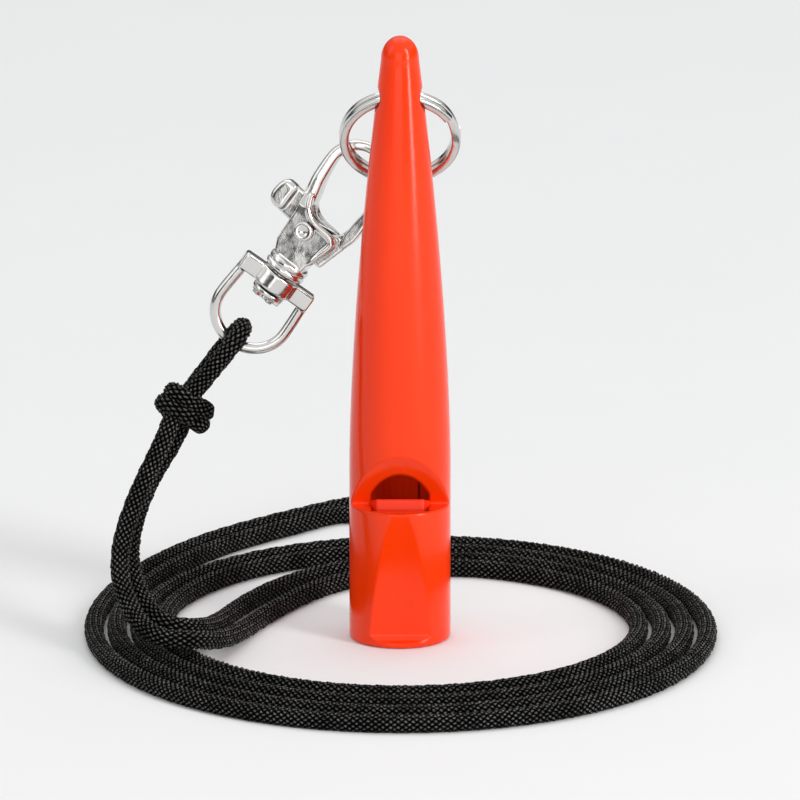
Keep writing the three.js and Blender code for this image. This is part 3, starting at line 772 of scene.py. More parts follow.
def carried_frames(line: np.ndarray, up: Point) -> tuple[np.ndarray, np.ndarray]:
    """Two directions square to the line at each point, carried along it without twist.

    Args:
        line: The line's points.
        up: The way that the second direction starts.

    Returns:
        The directions across and up, one row for each point.
    """
    tangents = np.gradient(line, axis=0)
    tangents /= np.linalg.norm(tangents, axis=1)[:, None]
    ups = np.empty_like(line)
    current = np.array(up, float)
    for i, tangent in enumerate(tangents):
        current = current - tangent * current.dot(tangent)
        current /= np.linalg.norm(current)
        ups[i] = current
    return np.cross(tangents, ups), ups


def tube(line: np.ndarray, section: np.ndarray, up: Point, map_steps: np.ndarray | None = None) -> Piece:
    """A closed tube along a line.

    Args:
        line: Its centre line.
        section: For each point of the line, the section's points as offsets across and up.
        up: The way that up starts.
        map_steps: The map's V for each point of the line, where the tube gets a map.

    Returns:
        The new object.
    """
    across, ups = carried_frames(line, up)
    rings, sides = section.shape[0], section.shape[1]
    places = line[:, None] + across[:, None] * section[:, :, :1] + ups[:, None] * section[:, :, 1:]
    i, k = np.meshgrid(np.arange(rings - 1), np.arange(sides), indexing="ij")
    following = (k + 1) % sides
    corners = [i * sides + k, i * sides + following, (i + 1) * sides + following, (i + 1) * sides + k]
    faces = np.stack(corners, -1).reshape(-1, 4).tolist()
    faces += [list(range(sides))[::-1], list(range((rings - 1) * sides, rings * sides))]
    mesh = bpy.data.meshes.new("tube")
    mesh.from_pydata(places.reshape(-1, 3).tolist(), [], faces)
    if map_steps is not None:
        u = np.stack([k, k + 1, k + 1, k], -1) / sides
        v = np.stack([map_steps[i], map_steps[i], map_steps[i + 1], map_steps[i + 1]], -1)
        flat = np.concatenate([np.stack([u, v], -1).reshape(-1), np.zeros(4 * sides)])
        mesh.uv_layers.new(name="braid").data.foreach_set("uv", flat.astype(np.float32))
    piece = bpy.data.objects.new("tube", mesh)
    bpy.context.scene.collection.objects.link(piece)
    Bench.edit(piece)
    Bench.close()
    return piece


def shaped_bar(points: list[Point], sizes: list[Point], step: float, squareness: float = 1,
               sides: int = 32) -> Piece:
    """A smooth bar through points, whose section changes along it.

    Args:
        points: The points that its centre line passes through.
        sizes: Stops along the bar, each with its share of the length, half width and half depth.
        step: Length of a step.
        squareness: 1 for an oval section, and less for a boxier one.
        sides: Sides of the section.

    Returns:
        The bar.
    """
    line = smooth_route(points, step)
    shares = np.linspace(0, 1, len(line))
    stops, widths, depths = np.array(sizes).T
    angles = np.linspace(0, 2 * math.pi, sides, endpoint=False)
    wide = np.sign(np.cos(angles)) * np.abs(np.cos(angles)) ** squareness
    deep = np.sign(np.sin(angles)) * np.abs(np.sin(angles)) ** squareness
    section = np.stack([np.interp(shares, stops, widths)[:, None] * wide,
                        np.interp(shares, stops, depths)[:, None] * deep], -1)
    return tube(line, section, (0, 1, 0))


# The whistle


@dataclass
class Whistle:
    """The moulded whistle: a tapered barrel with a sound chamber, window, bite facets and a fipple block."""

    length: float = 82
    barrel: float = 6.72
    taper_start: float = 24
    dome: float = 3
    tip: float = 2.5
    taper_power: float = 1.6
    bore: float = 4.74
    bore_top: float = 42
    chamber_dome: Pair = (4.1, 2)
    bore_steps: int = 96
    ledge: float = 18.5
    window_top: float = 26.4
    window_slope: float = 1.55
    windway_half: float = 3.8
    windway_height: float = 1.24
    windway_top: float = 20.4
    block_half: float = 3.2
    block_top: float = 19.75
    block_slope: float = 0.4
    facet_depths: Pair = (0.07, 1.37)
    facet_foot: float = 1.8
    bite_lip: float = 0.75
    hole: Pair = (73.5, 1.68)
    throat_half: float = 3.9
    turn_steps: int = 160

    def radius_at(self, height: float) -> float:
        """The barrel's radius at a height."""
        share = min(1.0, max(0.0, (height - self.taper_start) / (self.length - self.dome - self.taper_start)))
        return self.barrel - (self.barrel - self.tip) * share ** self.taper_power

    def shell(self) -> Piece:
        """The outside, from the rounded mouth end to the domed tip.

        Returns:
            The solid.
        """
        foot = self.length - self.dome
        profile = [(0, 0), (3, 0), *arc((self.barrel - 0.5, 0.5), (0.5, 0.5), -90, 0, 20)]
        profile += [(self.radius_at(z), z) for z in np.arange(self.taper_start, foot - 0.5, 1.5).tolist()]
        profile += arc((0, foot), (self.tip, self.dome), 0, 90, 24)[:-1] + [(0, self.length)]
        return Bench.turned(profile, self.turn_steps)

    def chamber(self) -> Piece:
        """The room inside, closed by a low dome.

        Returns:
            The solid that is taken away.
        """
        half, rise = self.chamber_dome
        end = arc((0, self.bore_top - rise), (half, rise), 0, 90, 8)[:-1]
        wall = [(0, -PAST), (self.bore, -PAST), (self.bore, self.window_top), *end, (0, self.bore_top)]
        room = Bench.turned(wall, self.bore_steps)
        reach = self.barrel
        low, high = self.ledge - 0.3, self.window_top - 1
        for side in (-1, 1):
            near, far = sorted((side * self.throat_half, side * reach))
            Bench.combine(room, Bench.box((near, -reach, low), (far, reach, high)))
        return room

    def window(self) -> Piece:
        """The cut that leaves a slanted lip above and a flat ledge below.

        Returns:
            The solid that is taken away.
        """
        def slant(y: float) -> float:
            """Height of the lip at a depth."""
            return self.window_top - self.window_slope * (y + self.barrel)

        front = -self.barrel - PAST
        corner = -self.barrel + (self.window_top - self.ledge) / self.window_slope
        stroke = Outline([(front, self.ledge), (corner - 1.2, self.ledge)])
        stroke.bend((corner, self.ledge), (corner - 0.4, slant(corner - 0.4))).line((front, slant(front)))
        return Bench.across(stroke.points, 2 * self.barrel + 2)

    def facet(self, side: int) -> Piece:
        """One bite facet: a sloping flat that curves out again to the full round lip.

        Args:
            side: -1 for the front and 1 for the back.

        Returns:
            The solid that is taken away.
        """
        top_depth, foot_depth = self.facet_depths
        start, foot, out = self.barrel - top_depth, self.barrel - foot_depth, self.barrel + PAST
        sweep = arc((self.barrel, self.facet_foot), (foot_depth, self.facet_foot - self.bite_lip),
                    180, 270, 24)
        points = [(out, self.ledge), (start, self.ledge), (foot, self.facet_foot + 0.01), *sweep,
                  (out, self.bite_lip)]
        return Bench.across([(side * y, z) for y, z in points], 2 * self.barrel + 2)

    def body(self, finish: Material) -> Piece:
        """Models and seats the moulding.

        Args:
            finish: Its material.

        Returns:
            The moulding.
        """
        piece = self.shell()
        Bench.combine(piece, self.chamber())
        half = self.windway_half
        Bench.combine(piece, Bench.box((-half, -self.bore, -1), (half, 0, self.windway_top)))
        Bench.combine(piece, self.window())
        Bench.combine(piece, self.facet(-1))
        Bench.combine(piece, self.facet(1))
        height, radius = self.hole
        Bench.combine(piece, Bench.rod(radius, 3 * self.barrel, (0, 0, height), "X"))
        return Bench.seat(piece, "whistle_moulding", Matrix.Identity(4), finish, "orange_plastic",
                          Body.WHISTLE, ["whistle_body"], 5.5)

    def block(self, finish: Material) -> Piece:
        """Models and seats the fipple block, whose flat front forms the windway.

        Args:
            finish: Its material.

        Returns:
            The block.
        """
        radius = self.bore - 0.3
        flat = -self.bore + self.windway_height
        piece = Bench.turned([(0, 0), (radius, 0), (radius, self.block_top), (0, self.block_top)], 96)
        reach = self.barrel
        tongue = Bench.box((-self.block_half, flat - 0.01, 0), (self.block_half, 0, self.block_top))
        Bench.combine(piece, tongue, Cut.FUSE)
        Bench.combine(piece, Bench.box((-reach, -reach, -1), (reach, flat, self.block_top + 1)))
        back = self.block_top - self.block_slope * (self.bore - flat)
        above = self.block_top + PAST
        slope = [(flat, self.block_top), (self.bore, back), (self.bore, above), (flat, above)]
        Bench.combine(piece, Bench.across(slope, 2 * reach))
        Bench.soften(piece, 0.15, 2, 40)
        return Bench.seat(piece, "fipple_plug", Matrix.Identity(4), finish, "orange_plastic_inside",
                          Body.WHISTLE, ["fipple_block"])

    def build(self) -> None:
        """Makes the whistle's two mouldings."""
        skin = PlasticFinish("orange_plastic", (0.96, 0.045, 0.001), (0.92, 0.037, 0.001), (1.0, 0.08, 0.02),
                             (0.11, 0.19)).make()
        # the fipple block gets a darker, deeper red copy of the orange plastic: painted shade of the
        # whistle's inside
        inside = PlasticFinish("orange_plastic_inside", (0.90, 0.034, 0.002), (0.84, 0.027, 0.002),
                               (0.98, 0.07, 0.02), (0.3, 0.42)).make()
        self.body(skin)
        self.block(inside)


# The split ring


@dataclass
class SplitRing:
    """Two flat turns of wire wound as one piece through the whistle's cross hole."""

    radius: float = 7.4
    wire: Pair = (1.25, 0.88)
    turn_gap: float = 0.12
    tilt: float = math.radians(30)
    turns: float = 1.94
    step_arc: float = math.radians(50)
    step_at: float = math.radians(20)
    drop: float = 7.047
    hole_height: float = 73.5

    def place(self) -> Matrix:
        """From the ring's own axes to the frame's.

        Returns:
            The move.
        """
        back, down = self.drop * math.sin(self.tilt), self.drop * math.cos(self.tilt)
        centre = Vector((0, back, self.hole_height - down))
        return Matrix.Translation(centre) @ Matrix.Rotation(self.tilt, 4, "X")

    def build(self) -> Piece:
        """Winds and seats the ring.

        Returns:
            The ring.
        """
        total = self.turns * 2 * math.pi
        turn = np.linspace(0, total, 420)
        share = np.clip((turn - total / 2) / self.step_arc + 0.5, 0, 1)
        crossing = share * share * (3 - 2 * share)
        angle = self.step_at + turn - total / 2
        depth = (crossing - 0.5) * (self.wire[1] + self.turn_gap)
        line = np.column_stack([self.radius * np.cos(angle), depth, self.radius * np.sin(angle)])
        corner = 0.26
        half = (self.wire[0] / 2, self.wire[1] / 2)
        points = []
        for quarter, (sx, sy) in enumerate(((1, 1), (-1, 1), (-1, -1), (1, -1))):
            centre = (sx * (half[0] - corner), sy * (half[1] - corner))
            points += arc(centre, (corner, corner), 90 * quarter, 90 * quarter + 90, 4)
        section = np.repeat(np.array(points)[None], len(line), axis=0)
        finish = NickelFinish("ring_nickel", gloss=(0.09, 0.2), relief_mm=0.03, grain=(1, 3, 1)).make()
        piece = tube(line, section, (0, 1, 0))
        return Bench.seat(piece, "split_ring_wire", self.place(), finish, "nickel", Body.RING,
                          ["split_ring"], 50)


# The clasp


@dataclass
class Clasp:
    """The cast swivel clasp: hook, trigger lever, rivet and the eye that turns on its post."""

    place: Point = (-11.68, 6.37, 53.55)
    lean: float = math.radians(35.7)
    yaw: float = math.radians(-17.6)
    rivet: float = -0.6
    rivet_shank: float = 0.6
    rivet_head: float = 1.28
    housing_thick: float = 4.4
    cheek: float = 0.9
    foot: float = -4.75
    slot_floor: float = -3.6
    arm_root: float = 4.6
    hook_centre: Pair = (0.33, 9.9)
    hook_radius: float = 4.08
    arm: Pair = (1.35, 1.1)
    gate: float = 9.2
    lever_thick: float = 1.0
    collar: float = 2.9
    collar_thick: float = 1.75
    post: float = 1.3
    eye_bar: Point = (5.5, 2.2, 2.45)
    eye_boss: float = 2.85
    eye_wire: float = 0.75
    eye_half: float = 5.08
    eye_length: float = 11.4
    bow_height: float = 4.8
    stake: Pair = (2.35, 1.3)
    seat_gap: float = 0.3

    def axes(self, yaw: float) -> Matrix:
        """From the clasp's own axes to the frame's."""
        turn = Matrix.Rotation(self.lean, 4, "Y") @ Matrix.Rotation(yaw, 4, "Z")
        return Matrix.Translation(Vector(self.place)) @ turn

    @property
    def eye_top(self) -> float:
        """Height of the eye's upper face on the swivel axis."""
        return self.foot - self.collar_thick - self.seat_gap

    def wire_middle(self) -> Vector:
        """The middle of the bow's wire, where the cord loops over it."""
        return self.axes(0) @ Vector((0, 0, self.eye_top - self.eye_length))

    def housing(self) -> Piece:
        """Two cheeks with a slot for the lever, solid at the foot and at the arm's root.

        Returns:
            The housing.
        """
        shape = Outline([(2.2, self.foot), (2.4, self.slot_floor), (3.72, 1.1)])
        shape.bend((3.9, 1.8), (3.2, 1.8)).line((-0.2, 1.85)).bend((-1.7, 2.3), (-2.35, 3.9))
        shape.line((-3.0, 6.6), (-4.05, 6.8), (-3.85, self.arm_root), (-3.3, 1.5), (-3.05, -2.9))
        shape.line((-2.2, self.foot))
        piece = Bench.plate(shape.points, self.housing_thick)
        side, top = self.housing_thick / 2, self.arm[1] / 2
        low = self.foot - 1
        depth = [(-side, low), (side, low), (side, 2.6), (0.62 * side, self.arm_root), (top, 7), (-top, 7),
                 (-0.62 * side, self.arm_root), (-side, 2.6)]
        Bench.combine(piece, Bench.across(depth, 12), Cut.KEEP_COMMON)
        Bench.soften(piece, 0.6, 4)
        half = side - self.cheek
        Bench.combine(piece, Bench.box((-6, -half, self.slot_floor), (6, half, self.arm_root - 0.1)))
        return piece

    def hook_arm(self) -> Piece:
        """The arm and arch, ending in a nose that the gate swings past.

        Returns:
            The arm.
        """
        cx, cz = self.hook_centre
        points = [(-2.75, 3.2), (-3.1, 4.9), (-3.45, 6.4)]
        points += arc(self.hook_centre, (self.hook_radius, self.hook_radius), 185, -10, 16)
        points += [(cx + self.hook_radius - 0.15, 7.8), (cx + self.hook_radius - 0.35, 6.6)]
        wide, deep = self.arm[0] / 2, self.arm[1] / 2
        sizes = [(0, 1.15, 1.75), (0.16, 1.0, 1.5), (0.34, 0.8, 0.95), (0.5, wide, deep), (1, wide, deep)]
        piece = shaped_bar([(x, 0, z) for x, z in points], sizes, 0.4, 0.7)
        swing = Bench.rod(self.gate + self.seat_gap, 9, (self.rivet, 0, 0), "Y", 128)
        Bench.combine(swing, Bench.box((cx, -5, 0), (cx + 10, 5, cz + self.hook_radius)), Cut.KEEP_COMMON)
        Bench.combine(piece, swing)
        return piece

    def rims(self) -> list[Piece]:
        """The raised rim round the mouth of the hook, on the front and on the back of the housing.

        Returns:
            The two rims.
        """
        side = self.housing_thick / 2 - 0.1
        front = [(-3.3, -0.75, 6.2), (-2.9, -1.25, 4.7), (-2.15, -side + 0.15, 3.0), (-1.0, -side, 2.0),
                 (0.6, -side, 1.6), (2.6, -side, 1.45), (3.35, -side, 0.8), (3.1, -side, -0.7),
                 (2.35, -side + 0.1, -3.4)]
        sizes = [(0, 0.3, 0.3), (0.2, 0.42, 0.42), (0.8, 0.4, 0.4), (1, 0.2, 0.2)]
        return [shaped_bar([(x, flip * y, z) for x, y, z in front], sizes, 0.3) for flip in (1, -1)]

    def swivel_post(self) -> list[Piece]:
        """The grooved collar, the post and its staked, toothed end.

        Returns:
            Their overlapping parts.
        """
        collar_foot = self.foot - self.collar_thick
        bar_foot = self.eye_top - self.eye_bar[2]
        stake_top = bar_foot - self.seat_gap
        stake_foot = stake_top - self.stake[1]
        middle = self.foot - 0.5 * self.collar_thick
        profile = [(0, stake_foot), (self.post, stake_foot), (self.post, collar_foot)]
        profile += [(self.collar - 0.3, collar_foot), (self.collar, collar_foot + 0.25),
                    (self.collar, middle - 0.16), (self.collar - 0.35, middle), (self.collar, middle + 0.16),
                    (self.collar, self.foot - 0.1),
                    (self.collar - 0.2, self.foot + 0.1), (0, self.foot + 0.3)]
        post = Bench.turned(profile, 72)
        washer_middle = (0, 0, stake_top - 0.225 * self.stake[1])
        washer = Bench.rod(self.stake[0], 0.45 * self.stake[1], washer_middle, "Z")
        teeth = []
        for i in range(5):
            tooth = Bench.box((-0.5, -0.45, -0.5), (0.5, 0.45, 0.5))
            turn = Matrix.Rotation(2 * math.pi * i / 5 + 0.3, 4, "Z")
            spot = (self.stake[0] - 0.75, 0, stake_top - 0.6 * self.stake[1])
            tooth.data.transform(turn @ Matrix.Translation(spot))
            teeth.append(tooth)
        return [post, washer, *teeth]

    def hook(self, finish: Material) -> Piece:
        """Casts and seats the hook frame.

        Args:
            finish: Its material.

        Returns:
            The hook frame.
        """
        piece = Bench.cast([self.housing(), self.hook_arm(), *self.rims(), *self.swivel_post()], 0.1, 6)
        Bench.combine(piece, Bench.rod(self.rivet_shank + self.seat_gap, 9, (self.rivet, 0, 0), "Y", 40))
        return Bench.seat(piece, "hook_casting", self.axes(self.yaw), finish, "nickel", Body.HOOK,
                          ["hook_frame"], 60)

    def lever(self, finish: Material) -> Piece:
        """Models and seats the trigger lever with its thumb tab and gate.

        Args:
            finish: Its material.

        Returns:
            The lever.
        """
        x = self.rivet
        shape = Outline([(x - 1.6, -1.3), (x - 2.2, -0.35), (x - 5.3, -0.05)])
        shape.bend((x - 6.9, 0.1), (x - 6.87, 1.8)).bend((x - 6.8, 4.1), (x - 5.5, 4.1))
        shape.line((x - 2.7, 3.85), (x - 1.3, 1.75), (x + 2.6, 1.5)).bend((x + 4.0, 2.0), (x + 4.3, 3.2))
        shape.line((x + 4.55, 5.2), *arc((x, 0), (self.gate, self.gate), 59.4, 50.2, 4), (x + 6.15, 4.4))
        shape.bend((x + 6.2, 2.9), (x + 5.7, 1.8)).line((x + 4.35, -2.9), (x + 3.4, -2.9), (x + 1.2, -1.5))
        middle = -(self.housing_thick / 2 - self.cheek) + self.seat_gap + self.lever_thick / 2
        plate = Bench.plate(shape.points, self.lever_thick, middle)
        Bench.soften(plate, 0.2, 2)
        tab = Outline([(x - 4.2, 0.15), (x - 5.3, 0.0)])
        tab.bend((x - 6.9, 0.1), (x - 6.87, 1.8)).bend((x - 6.8, 4.1), (x - 5.5, 4.1)).line((x - 4.2, 4.0))
        pad = Bench.plate(tab.points, 2.3, middle)
        Bench.soften(pad, 0.6, 4)
        gate = Outline([(x + 4.55, 5.4), *arc((x, 0), (self.gate, self.gate), 58, 51, 4), (x + 6.1, 4.6)])
        gate.line((x + 6.0, 2.9), (x + 5.4, 1.2), (x + 4.75, 1.4), (x + 4.4, 3.0))
        gate_side = Bench.plate(gate.points, 1.8, middle)
        Bench.soften(gate_side, 0.4, 3)
        piece = Bench.cast([plate, pad, gate_side], 0.085, 3)
        Bench.combine(piece, Bench.rod(self.rivet_shank + self.seat_gap, 9, (x, 0, 0), "Y", 40))
        return Bench.seat(piece, "trigger_casting", self.axes(self.yaw), finish, "nickel", Body.LEVER,
                          ["trigger_lever"], 60)

    def rivet_pin(self, finish: Material) -> Piece:
        """Turns and seats the dimpled rivet.

        Args:
            finish: Its material.

        Returns:
            The rivet.
        """
        inner = self.housing_thick / 2 + self.seat_gap
        outer = inner + 0.45
        head, dimple = self.rivet_head, 0.62
        half = [(0, outer - 0.24), (0.35, outer - 0.2), (dimple, outer - 0.04), (dimple + 0.12, outer)]
        edge = arc((head - 0.22, outer - 0.22), (0.22, 0.22), 90, 0, 4)
        half += [(head - 0.3, outer), *edge, (head, inner)]
        half += [(self.rivet_shank, inner)]
        piece = Bench.turned([*half, *[(r, -h) for r, h in reversed(half)]], 56)
        stand = Matrix.Translation((self.rivet, 0, 0)) @ Matrix.Rotation(math.pi / 2, 4, "X")
        return Bench.seat(piece, "rivet_pin", self.axes(self.yaw) @ stand, finish, "nickel", Body.HOOK,
                          ["lever_rivet"], 35)

    def eye(self, finish: Material) -> Piece:
        """Casts and seats the eye: a bar with a bored boss, and a round bow below it.

        Args:
            finish: Its material.

        Returns:
            The eye.
        """
        half, thick, tall = self.eye_bar
        foot = self.eye_top - tall
        bar = Bench.box((-half, -thick / 2, foot), (half, thick / 2, self.eye_top))
        Bench.soften(bar, 0.35, 3)
        boss = Bench.rod(self.eye_boss, tall, (0, 0, (foot + self.eye_top) / 2), "Z")
        Bench.soften(boss, 0.25, 2)
        middle = (foot + self.eye_top) / 2
        bow_top = self.eye_top - self.eye_length + self.bow_height
        leg = half - self.eye_wire
        bow = arc((0, bow_top), (self.eye_half, self.bow_height), 180, 360, 16)
        points = [(-leg, middle), *bow, (leg, middle)]
        sizes = [(share, self.eye_wire, self.eye_wire) for share in (0, 1)]
        wire = shaped_bar([(x, 0, z) for x, z in points], sizes, 0.35)
        piece = Bench.cast([bar, boss, wire], 0.1, 3)
        Bench.combine(piece, Bench.rod(self.post + self.seat_gap, 6, (0, 0, middle), "Z", 40))
        return Bench.seat(piece, "eye_casting", self.axes(0), finish, "nickel", Body.EYE, ["swivel_eye"], 60)

    def spring(self) -> None:
        """Gives the lever's wire spring its drawn steel finish."""
        finish = NickelFinish("spring_wire", (0.62, 0.62, 0.63), (0.3, 0.3, 0.31), (0.25, 0.4), 0.02,
                              (1, 6, 1)).make()
        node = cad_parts["lever_spring"]
        node.data.materials.clear()
        node.data.materials.append(finish)

    def build(self) -> None:
        """Makes the clasp's pieces."""
        finish = NickelFinish("cast_nickel").make()
        self.hook(finish)
        self.lever(finish)
        self.rivet_pin(finish)
        self.eye(finish)
        self.spring()


# The cord


@dataclass
class NeckCord:
    """One braided cord: a loop over the eye, a knot, two rises and the coil that they run into."""

    wire_middle: Vector
    diameter: float = 2.5
    lie: float = 1.0
    coil_centre: Pair = (1.6, 1.5)
    coil_start: Pair = (28.6, 28.9)
    coil_pitch: Pair = (3.03, 4.24)
    coil_drift: float = 0.44
    coil_ends: Pair = (14, 712)
    flare_from: float = 630
    flare: Pair = (12.9, 12.5)
    knot: Point = (-29.1, 4.6, 30.4)
    carriers: int = 10
    pick: float = 0.96
    relief: float = 0.3
    eye_wire: float = 0.75

    @property
    def radius(self) -> float:
        """Half of the cord's diameter."""
        return self.diameter / 2

    def rise_left(self) -> list[Point]:
        """The left stretch from the knot over the coil's side.

        Returns:
            Its points.
        """
        z = self.lie
        return [
            (-30.0, 3.2, 29.4), (-31.7, 2.2, 25.4), (-34.0, 0.6, 21.0), (-36.1, -1.9, 16.2),
            (-37.1, -4.8, 12.2), (-36.8, -7.9, 9.2), (-35.5, -11.3, 6.8), (-33.6, -14.6, 5.1),
            (-30.9, -17.3, 4.4), (-27.3, -16.9, 4.2),
            (-24.4, -12.0, 2.8), (-21.8, -4.8, 1.6), (-19.3, 2.8, z), (-16.5, 9.5, z), (-12.3, 17.3, z),
            (-6.6, 24.0, z), (0.9, 28.4, z),
        ]

    def rise_right(self) -> list[Point]:
        """The right stretch from the knot over the coil's side.

        Returns:
            Its points.
        """
        z = self.lie
        return [
            (-28.4, 6.0, 28.8), (-30.3, 5.5, 24.8), (-32.7, 4.1, 21.2), (-34.9, 1.9, 16.4),
            (-35.8, -0.8, 12.4), (-35.4, -4.2, 9.6), (-34.2, -7.3, 7.2), (-32.3, -9.9, 5.2),
            (-29.8, -10.9, 4.3), (-27.2, -8.4, 3.5), (-25.4, -2.6, 2.0), (-23.2, 5.2, z),
            (-20.2, 12.8, z), (-15.8, 20.8, z), (-8.4, 28.6, z), (0.6, 32.4, z),
        ]

    def coil_point(self, strand: int, degrees: float) -> Point:
        """A point of the inner (0) or outer (1) strand, in degrees clockwise from the back.

        Args:
            strand: Which strand.
            degrees: How far round the coil.

        Returns:
            The point.
        """
        angle, lap = math.radians(degrees), 2 * degrees / 360 + strand
        swing = max(0.0, (degrees - self.flare_from) / (self.coil_ends[1] - self.flare_from))
        depth = self.coil_start[1] + self.coil_pitch[1] * lap + self.flare[strand] * swing
        return (
            self.coil_centre[0] + (self.coil_start[0] + self.coil_pitch[0] * lap) * math.sin(angle),
            self.coil_centre[1] - self.coil_drift * lap + depth * math.cos(angle),
            self.lie,
        )

    def coil(self) -> list[Point]:
        """Out along the inner strand, round the far bight and back along the outer strand.

        Returns:
            The route's points.
        """
        start, end = self.coil_ends
        steps = round((end - start) / 15)
        stops = [start + (end - start) * i / steps for i in range(steps + 1)]
        inner = [Vector(self.coil_point(0, stop)) for stop in stops]
        outer = [Vector(self.coil_point(1, stop)) for stop in reversed(stops)]
        middle, out = (inner[-1] + outer[0]) / 2, (inner[-1] - outer[0]).normalized()
        ahead = Vector((-out.y, out.x, 0))
        drop = [(1.75, -3.6), (2.9, -1.4), (3.4, 0.9), (2.4, 3.1), (0, 4.0)]
        drop += [(-aside, forward) for aside, forward in reversed(drop[:-1])]
        bight = [middle + out * aside + ahead * forward for aside, forward in drop]
        return [tuple(point) for point in [*inner[:-1], *bight, *outer[1:]]]

    def braid(self, line: np.ndarray, finish: Material, name: str, stands_for: list[str],
              start_pick: float = 0, melted: bool = False) -> Piece:
        """Sweeps a braided surface along a line and seats it.

        Args:
            line: The centre line at three steps to a pick.
            finish: The cord's material.
            name: The piece's name.
            stands_for: The nodes that it replaces.
            start_pick: Picks before the line's start, so that stretches meet in step.
            melted: Whether both ends are melted and drawn in.

        Returns:
            The piece.
        """
        sides = 3 * self.carriers
        picks = start_pick + np.arange(len(line)) / 3
        around = np.arange(sides) / 3
        right = around[None] + picks[:, None]
        left = around[None] - picks[:, None]
        over = (np.floor(right + 1e-6) + np.floor(left + 1e-6)) % 2 > 0.5
        crown = np.abs(np.sin(np.pi * np.where(over, left, right)))
        dive = np.abs(np.sin(np.pi * np.where(over, right, left))) ** 0.5
        cell = np.floor(np.where(over, left, right) + 1e-6) * 12.9898 + np.floor(picks)[:, None] * 78.233
        lump = 0.5 + 0.5 * np.sin(cell * 3.7)
        radii = self.radius + 0.14 - self.relief * (1 - crown * dive) - 0.1 * lump
        if melted:
            from_end = np.minimum(np.arange(len(line)), np.arange(len(line))[::-1])
            radii = radii * np.interp(from_end, [0, 1, 2, 3], [0.55, 0.86, 0.97, 1])[:, None]
        angles = 2 * np.pi * np.arange(sides) / sides
        section = np.stack([radii * np.cos(angles), radii * np.sin(angles)], -1)
        piece = tube(line, section, (0, 0.3, 1), picks)
        for vertex in piece.data.vertices:
            vertex.co.z = max(0.0, vertex.co.z)
        return Bench.seat(piece, name, Matrix.Identity(4), finish, "black_cord", Body.CORD, stands_for, 180)

    def long_stretch(self, finish: Material) -> list[tuple[Piece, np.ndarray]]:
        """The cord down the left rise, through the coil and up the right rise, in three stretches.

        Args:
            finish: Its material.

        Returns:
            Each stretch with its centre line.
        """
        route = [*self.rise_left(), *self.coil(), *reversed(self.rise_right())]
        line = smooth_route(route, self.pick / 3, 40)
        line[:, 2] = np.maximum(line[:, 2], self.lie)
        first = int(np.argmin(np.linalg.norm(line - self.coil_point(0, self.coil_ends[0]), axis=1)))
        last = int(np.argmin(np.linalg.norm(line - self.coil_point(1, self.coil_ends[0]), axis=1)))
        parts = [
            ("cord_rise_left_braid", 0, first, "cord_rise_left"),
            ("cord_coil_braid", first, last, "cord_coil"),
            ("cord_rise_right_braid", last, len(line) - 1, "cord_rise_right"),
        ]
        made = []
        for name, start, end, node in parts:
            stretch = line[start:end + 1]
            made.append((self.braid(stretch, finish, name, [node], start / 3), stretch))
        return made

    def loop_line(self) -> np.ndarray:
        """The loop: up in front of the eye's wire, over it and down behind it.

        Returns:
            The centre line.
        """
        knot, wire = Vector(self.knot), self.wire_middle
        along = (wire - knot).normalized()
        reach = self.eye_wire + 0.3 + self.radius
        inside = self.radius + 0.15

        def leg(side: int, share: float, spread: float) -> Point:
            """A point of one leg between the knot and the wire."""
            return tuple(knot.lerp(wire, share) + Vector((0, side * spread, 0)))

        turn = arc((0, 0), (reach, reach), 180, 0, 8)
        over = [tuple(wire + Vector((0, y, 0)) + along * up) for y, up in turn]
        stops = [(-0.22, 0.5), (0.1, inside), (0.5, inside + 0.3), (0.75, reach - 0.2)]
        front = [leg(-1, share, spread) for share, spread in stops]
        rear = [leg(1, share, spread) for share, spread in reversed(stops)]
        return smooth_route([*front, *over, *rear], self.pick / 3)

    def knot_line(self) -> np.ndarray:
        """The overhand knot: from one tail round the doubled cord one and a half times to the other tail.

        Returns:
            The centre line.
        """
        centre = Vector(self.knot)
        up = (self.wire_middle - centre).normalized()
        back = (Vector((0, 1, 0)) - up * up.y).normalized()
        right = back.cross(up)
        start, sweep, steps = 70, 545, 14
        wide, deep, climb = 2.05, 1.9, 2.9
        wraps = []
        for i in range(steps + 1):
            share = i / steps
            turn = math.radians(start + sweep * share)
            spot = centre + right * wide * math.cos(turn) - back * deep * math.sin(turn)
            wraps.append(tuple(spot + up * (climb / 2 - climb * share)))
        tails = [Vector((0.96, -0.25, -0.12)).normalized(), Vector((0.72, -0.3, -0.62)).normalized()]
        first = [tuple(centre + tails[0] * 4.6), tuple(centre + tails[0] * 3.4 - back * 0.4)]
        second = [tuple(centre + tails[1] * 3.4 + back * 0.2), tuple(centre + tails[1] * 4.7)]
        return smooth_route([*first, *wraps, *second], self.pick / 3, 3)

    def build(self) -> None:
        finish = BraidFinish("black_braid", self.carriers).make()
        knot = self.braid(self.knot_line(), finish, "cord_knot_braid", ["cord_knot"], melted=True)
        rise_left, coil, rise_right = self.long_stretch(finish)
        loop_line = self.loop_line()
        loop = (self.braid(loop_line, finish, "cord_loop_braid", ["cord_loop"]), loop_line)
        ways = [(rise_left, "object", "hanging", [knot]), (coil, "object", "coiled", []),
                (rise_right, "knot", "hanging", []), (loop, "knot", "hanging", [])]
        for (piece, line), far_end, lay, extras in ways:
            log.info("%s: %.1f mm long", piece.name, line_length(line))


# The studio


